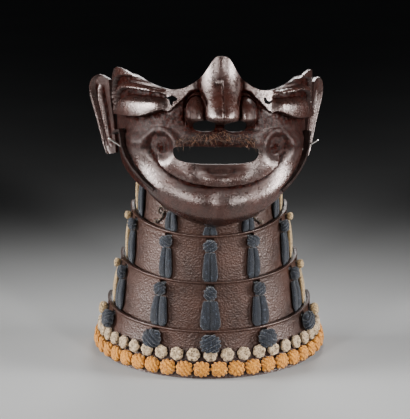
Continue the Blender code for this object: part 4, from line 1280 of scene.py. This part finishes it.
# %% A node tree for a row of knots
def new_tree(name, sockets, result):
    """A Geometry Nodes tree with its named inputs and its result, and a function that adds a node."""
    tree = bpy.data.node_groups.new(name, "GeometryNodeTree")
    for title, kind in sockets:
        tree.interface.new_socket(title, in_out="INPUT", socket_type="NodeSocket" + kind)
    tree.interface.new_socket(result, in_out="OUTPUT", socket_type="NodeSocketGeometry")

    def new(kind, inputs=None, **settings):
        return tree_node(tree, kind, inputs, **settings).outputs

    return tree, new, new("NodeGroupInput")


def real_copies(new, given, points, shape, turned, result, scale=None):
    """Puts a copy of a shape on each point, makes the copies real and gives them their material."""
    inputs = {"Points": points, "Instance": new("GeometryNodeObjectInfo", {"Object": shape})["Geometry"]}
    inputs["Rotation"] = turned
    if scale is not None:
        inputs["Scale"] = scale
    copies = new("GeometryNodeInstanceOnPoints", inputs)["Instances"]
    real = new("GeometryNodeRealizeInstances", {"Geometry": copies})["Geometry"]
    finish = new("GeometryNodeSetMaterial", {"Geometry": real, "Material": given["Finish"]})
    new("NodeGroupOutput", {result: finish["Geometry"]})


def row_of_knots_tree():
    tree, new, given = new_tree("row_of_knots", (
        ("Line", "Geometry"), ("Knot", "Object"), ("Knots", "Int"), ("Turn by chance", "Float"),
        ("Seed", "Int"), ("Finish", "Material"),
    ), "Row")
    line = new("GeometryNodeMeshToCurve", {"Mesh": given["Line"]})["Curve"]
    spread = new("GeometryNodeResampleCurve", {"Curve": line, "Count": given["Knots"]})["Curve"]
    out = new("GeometryNodeInputNamedAttribute", {"Name": "out"}, data_type="FLOAT_VECTOR")
    face_out = new("FunctionNodeAlignRotationToVector", {"Vector": out["Attribute"]}, axis="Z")
    tangent = new("GeometryNodeInputTangent")["Tangent"]
    inputs = {"Rotation": face_out["Rotation"], "Vector": tangent}
    along = new("FunctionNodeAlignRotationToVector", inputs, axis="X", pivot_axis="Z")["Rotation"]
    minus = new("ShaderNodeMath", {0: given["Turn by chance"], 1: -1.0}, operation="MULTIPLY")[0]
    inputs = {2: minus, 3: given["Turn by chance"], "Seed": given["Seed"]}
    chance = new("FunctionNodeRandomValue", inputs, data_type="FLOAT")[1]
    about = new("ShaderNodeCombineXYZ", {"Z": chance})[0]
    spin = new("FunctionNodeEulerToRotation", {0: about})[0]
    inputs = {"Rotation": along, "Rotate By": spin}
    turned = new("FunctionNodeRotateRotation", inputs, rotation_space="LOCAL")["Rotation"]
    real_copies(new, given, spread, given["Knot"], turned, "Row")
    return tree


def run_nodes(made, tree, values):
    """Gives an object a Geometry Nodes modifier with its inputs set by their names' identifiers."""
    modifier = made.modifiers.new("nodes", "NODES")
    modifier.node_group = tree
    names = {s.name: s.identifier for s in tree.interface.items_tree if s.in_out == "INPUT"}
    for name, value in values.items():
        modifier[names[name]] = value


ROW_TREE = row_of_knots_tree()
print("inputs of the row:", [s.name for s in ROW_TREE.interface.items_tree if s.in_out == "INPUT"])

# %% The two rows
HEM_KNOTS = 24
ORANGE_LEVEL = 7.0 * MM
CREAM_LEVEL = 16.8 * MM
orange_silk = silk("orange_silk", (0.17, 0.052, 0.004), (0.58, 0.235, 0.022), (0.76, 0.44, 0.12), 0.61)
rosette_silk = silk("rosette_silk", (0.10, 0.055, 0.025), (0.56, 0.42, 0.26), (0.02, 0.014, 0.010), 0.55)


def hem_line(level, lift, span):
    """A line along the lowest plate at one height, as a mesh of edges with the way out kept on it."""
    number = PLATES - 1
    points, outs = [], []
    for turn in np.linspace(-span, span, 181):
        share = float(share_at(number, turn, level))
        out = plate_ways(number, turn, share)[2]
        points.append(plate_point(number, turn, share) + out * lift + np.array(CENTRE))
        outs.append(out)
    mesh = bpy.data.meshes.new("hem_line")
    edges = [(k, k + 1) for k in range(len(points) - 1)]
    mesh.from_pydata([tuple(point) for point in points], edges, [])
    layer = mesh.attributes.new("out", "FLOAT_VECTOR", "POINT")
    layer.data.foreach_set("vector", np.array(outs, np.float32).ravel())
    return add_object("hem_line", mesh)


def rosette_skin(width, thick, rows=20, steps=36):
    """A knot tied as a rosette: six petals round a small hollow."""
    theta, phi = ball_angles(rows, steps)
    petals = 0.88 + 0.12 * np.abs(np.cos(3 * phi)) ** 0.6
    a = np.sin(theta) ** 0.8 * np.cos(phi) * petals
    b = np.sin(theta) ** 0.8 * np.sin(phi) * petals
    hollow = 1 - 0.45 * np.exp(-((np.sin(theta) / 0.30) ** 2)) * (np.cos(theta) > 0)
    groove = 1 - 0.22 * np.sin(theta) * (1 - np.abs(np.cos(3 * phi)) ** 0.5)
    c = np.sign(np.cos(theta)) * np.abs(np.cos(theta)) ** 0.75 * hollow * groove
    return ball_skin(np.stack([a * width / 2, b * width / 2, c * thick / 2], axis=-1))


X, Y, Z = np.eye(3)
ball = knot_skin(np.zeros(3), X, Y, Z, (12.4 * MM, 11.2 * MM, 5.6 * MM), math.radians(38), 4.4)
ball_knot = piece_of("ball_knot", [ball], orange_silk, 80.0)
rosette = piece_of("rosette", [rosette_skin(9.8 * MM, 4.8 * MM)], rosette_silk, 80.0)
# name, knot, finish, level, lift, how many, degrees to each side, turn by chance, slot, node
ROWS = (
    ("orange_row", ball_knot, orange_silk, ORANGE_LEVEL, GAP + 2.6 * MM, HEM_KNOTS, 92.0, 0.25,
     "orange_lace", "hem_knots_orange"),
    ("cream_row", rosette, rosette_silk, CREAM_LEVEL, GAP + 2.3 * MM, HEM_KNOTS - 1, 88.0, 0.4,
     "cream_lace", "hem_knots_cream"),
)
for name, knot, finish, level, lift, count, span, chance, slot, node in ROWS:
    line = hem_line(level, lift, span)
    values = {"Knot": knot, "Knots": count, "Turn by chance": chance, "Seed": 7, "Finish": finish}
    run_nodes(line, ROW_TREE, values)
    row = as_plain_mesh(line, name, finish)
    settle(row, slot, node)
    print(name, len(row.data.polygons), "faces")
for knot in (ball_knot, rosette):
    bpy.data.objects.remove(knot)

# %% [markdown]
# ## Holes for the lacing
#
# The braid passes through each plate below its rim. The holes hide behind the knots in front, but
# they show from behind, so they are cut.

# %% Cut the lacing holes
HOLE_WIDTH = 6.0 * MM
HOLE_HEIGHT = 3.4 * MM


def hole_box(number, turn):
    """A small square cutter through one plate."""
    along, down, out = plate_ways(number, turn, HOLE_SHARE)
    middle = plate_point(number, turn, HOLE_SHARE) + np.array(CENTRE)
    corners = np.array(((-1, -1), (1, -1), (1, 1), (-1, 1))) * (HOLE_WIDTH / 2, HOLE_HEIGHT / 2)
    rings = []
    for depth in (-3.5 * MM, 2.5 * MM):
        rings.append([middle + out * depth + along * x + down * z for x, z in corners])
    return skin_of(rings)


for number, plate in enumerate(plates):
    if number:
        boxes = [hole_box(number, turn) for turn in LACE_TURNS]
        cutter = cut_with(plate, piece_of("hole_cutters", boxes, grained))
        plate = as_plain_mesh(plate, f"plate_{number + 1}", grained)
        bpy.data.objects.remove(cutter)
        plate.data.set_sharp_from_angle(angle=math.radians(40))
    settle(plate, "grained_plate", f"lame_{number + 1}")
print("holes cut in", PLATES - 1, "plates")

# %% [markdown]
# ## Moustache
#
# What is left of the moustache is a ragged fringe of coarse bristles along the upper lip. Geometry
# Nodes scatter short bent hairs over a strip of the lip and let them fall over the mouth.

# %% Bristle tree
def bristle_tree():
    tree, new, given = new_tree("bristles", (
        ("Lip", "Geometry"), ("Hair", "Object"), ("Hairs on a square metre", "Float"),
        ("Shortest", "Float"), ("Longest", "Float"), ("Seed", "Int"), ("Finish", "Material"),
    ), "Moustache")
    seed = given["Seed"]
    inputs = {"Mesh": given["Lip"], "Density": given["Hairs on a square metre"], "Seed": seed}
    points = new("GeometryNodeDistributePointsOnFaces", inputs)["Points"]
    inputs = {0: (-0.55, -0.5, -0.9), 1: (0.55, -0.15, 0.5), "Seed": seed}
    sway = new("FunctionNodeRandomValue", inputs, data_type="FLOAT_VECTOR")[0]
    fall = new("FunctionNodeAlignRotationToVector", {"Vector": sway}, axis="Z")["Rotation"]
    inputs = {2: given["Shortest"], 3: given["Longest"], "Seed": seed}
    size = new("FunctionNodeRandomValue", inputs, data_type="FLOAT")[1]
    real_copies(new, given, points, given["Hair"], fall, "Moustache", size)
    return tree


# %% Moustache
bristle = new_material("coarse_bristle", (0.14, 0.06, 0.025), 0.7)
where = place_on(bristle)
tufts = noise(bristle, where, 420.0, 2.0)
join(bristle, ramp(bristle, tufts, (0.014, 0.006, 0.004), (0.14, 0.058, 0.022), 0.40, 0.66), "Base Color")
join(bristle, bump(bristle, noise(bristle, where, 3000.0, 1.0), 0.05 * MM, 0.5), "Normal")
# the line that the hairs grow along: degrees round, share of the mask's height
LIP_ARCH = curve_through(((-25.0, 0.520), (-14.0, 0.545), (-4.0, 0.556), (8.0, 0.550), (19.0, 0.530)))
HAIR_LENGTH = 7.0 * MM
HAIR_RADIUS = 0.16 * MM


def lip_strip():
    """The strip of the upper lip that the hairs grow from, just above the skin."""
    turns = np.linspace(-25.0, 19.0, 40)
    rows = np.linspace(-0.022, 0.016, 5)
    points = []
    for turn in turns:
        for height in rows:
            climb = climb_at(turn, height + float(LIP_ARCH(turn)))
            points.append(np.array(mask_skin(turn, climb, GAP)[0]))
    points = moved(np.array(points), mask_place())
    count = len(rows)
    faces = []
    for k in range(len(turns) - 1):
        for j in range(count - 1):
            a, b = k * count + j, (k + 1) * count + j
            faces.append((a, b, b + 1, a + 1))
    mesh = bpy.data.meshes.new("lip_strip")
    mesh.from_pydata(points.tolist(), [], faces)
    return add_object("lip_strip", mesh)


s = np.linspace(0, 1, 5)
hair_path = np.stack([0.18 * s ** 2, 0.0 * s, s], axis=1) * HAIR_LENGTH
bar = round_bar(hair_path, HAIR_RADIUS * (1 - 0.75 * s), sides=4)
hair = piece_of("hair", [skin_of(bar)], bristle, 80.0)
strip = lip_strip()
run_nodes(strip, bristle_tree(), {
    "Hair": hair, "Hairs on a square metre": 0.8e6, "Shortest": 0.30, "Longest": 1.05, "Seed": 3,
    "Finish": bristle,
})
hairs = as_plain_mesh(strip, "moustache_hairs", bristle)
bpy.data.objects.remove(hair)
settle(hairs, "bristle", "moustache")
print("moustache:", len(hairs.data.polygons), "faces")
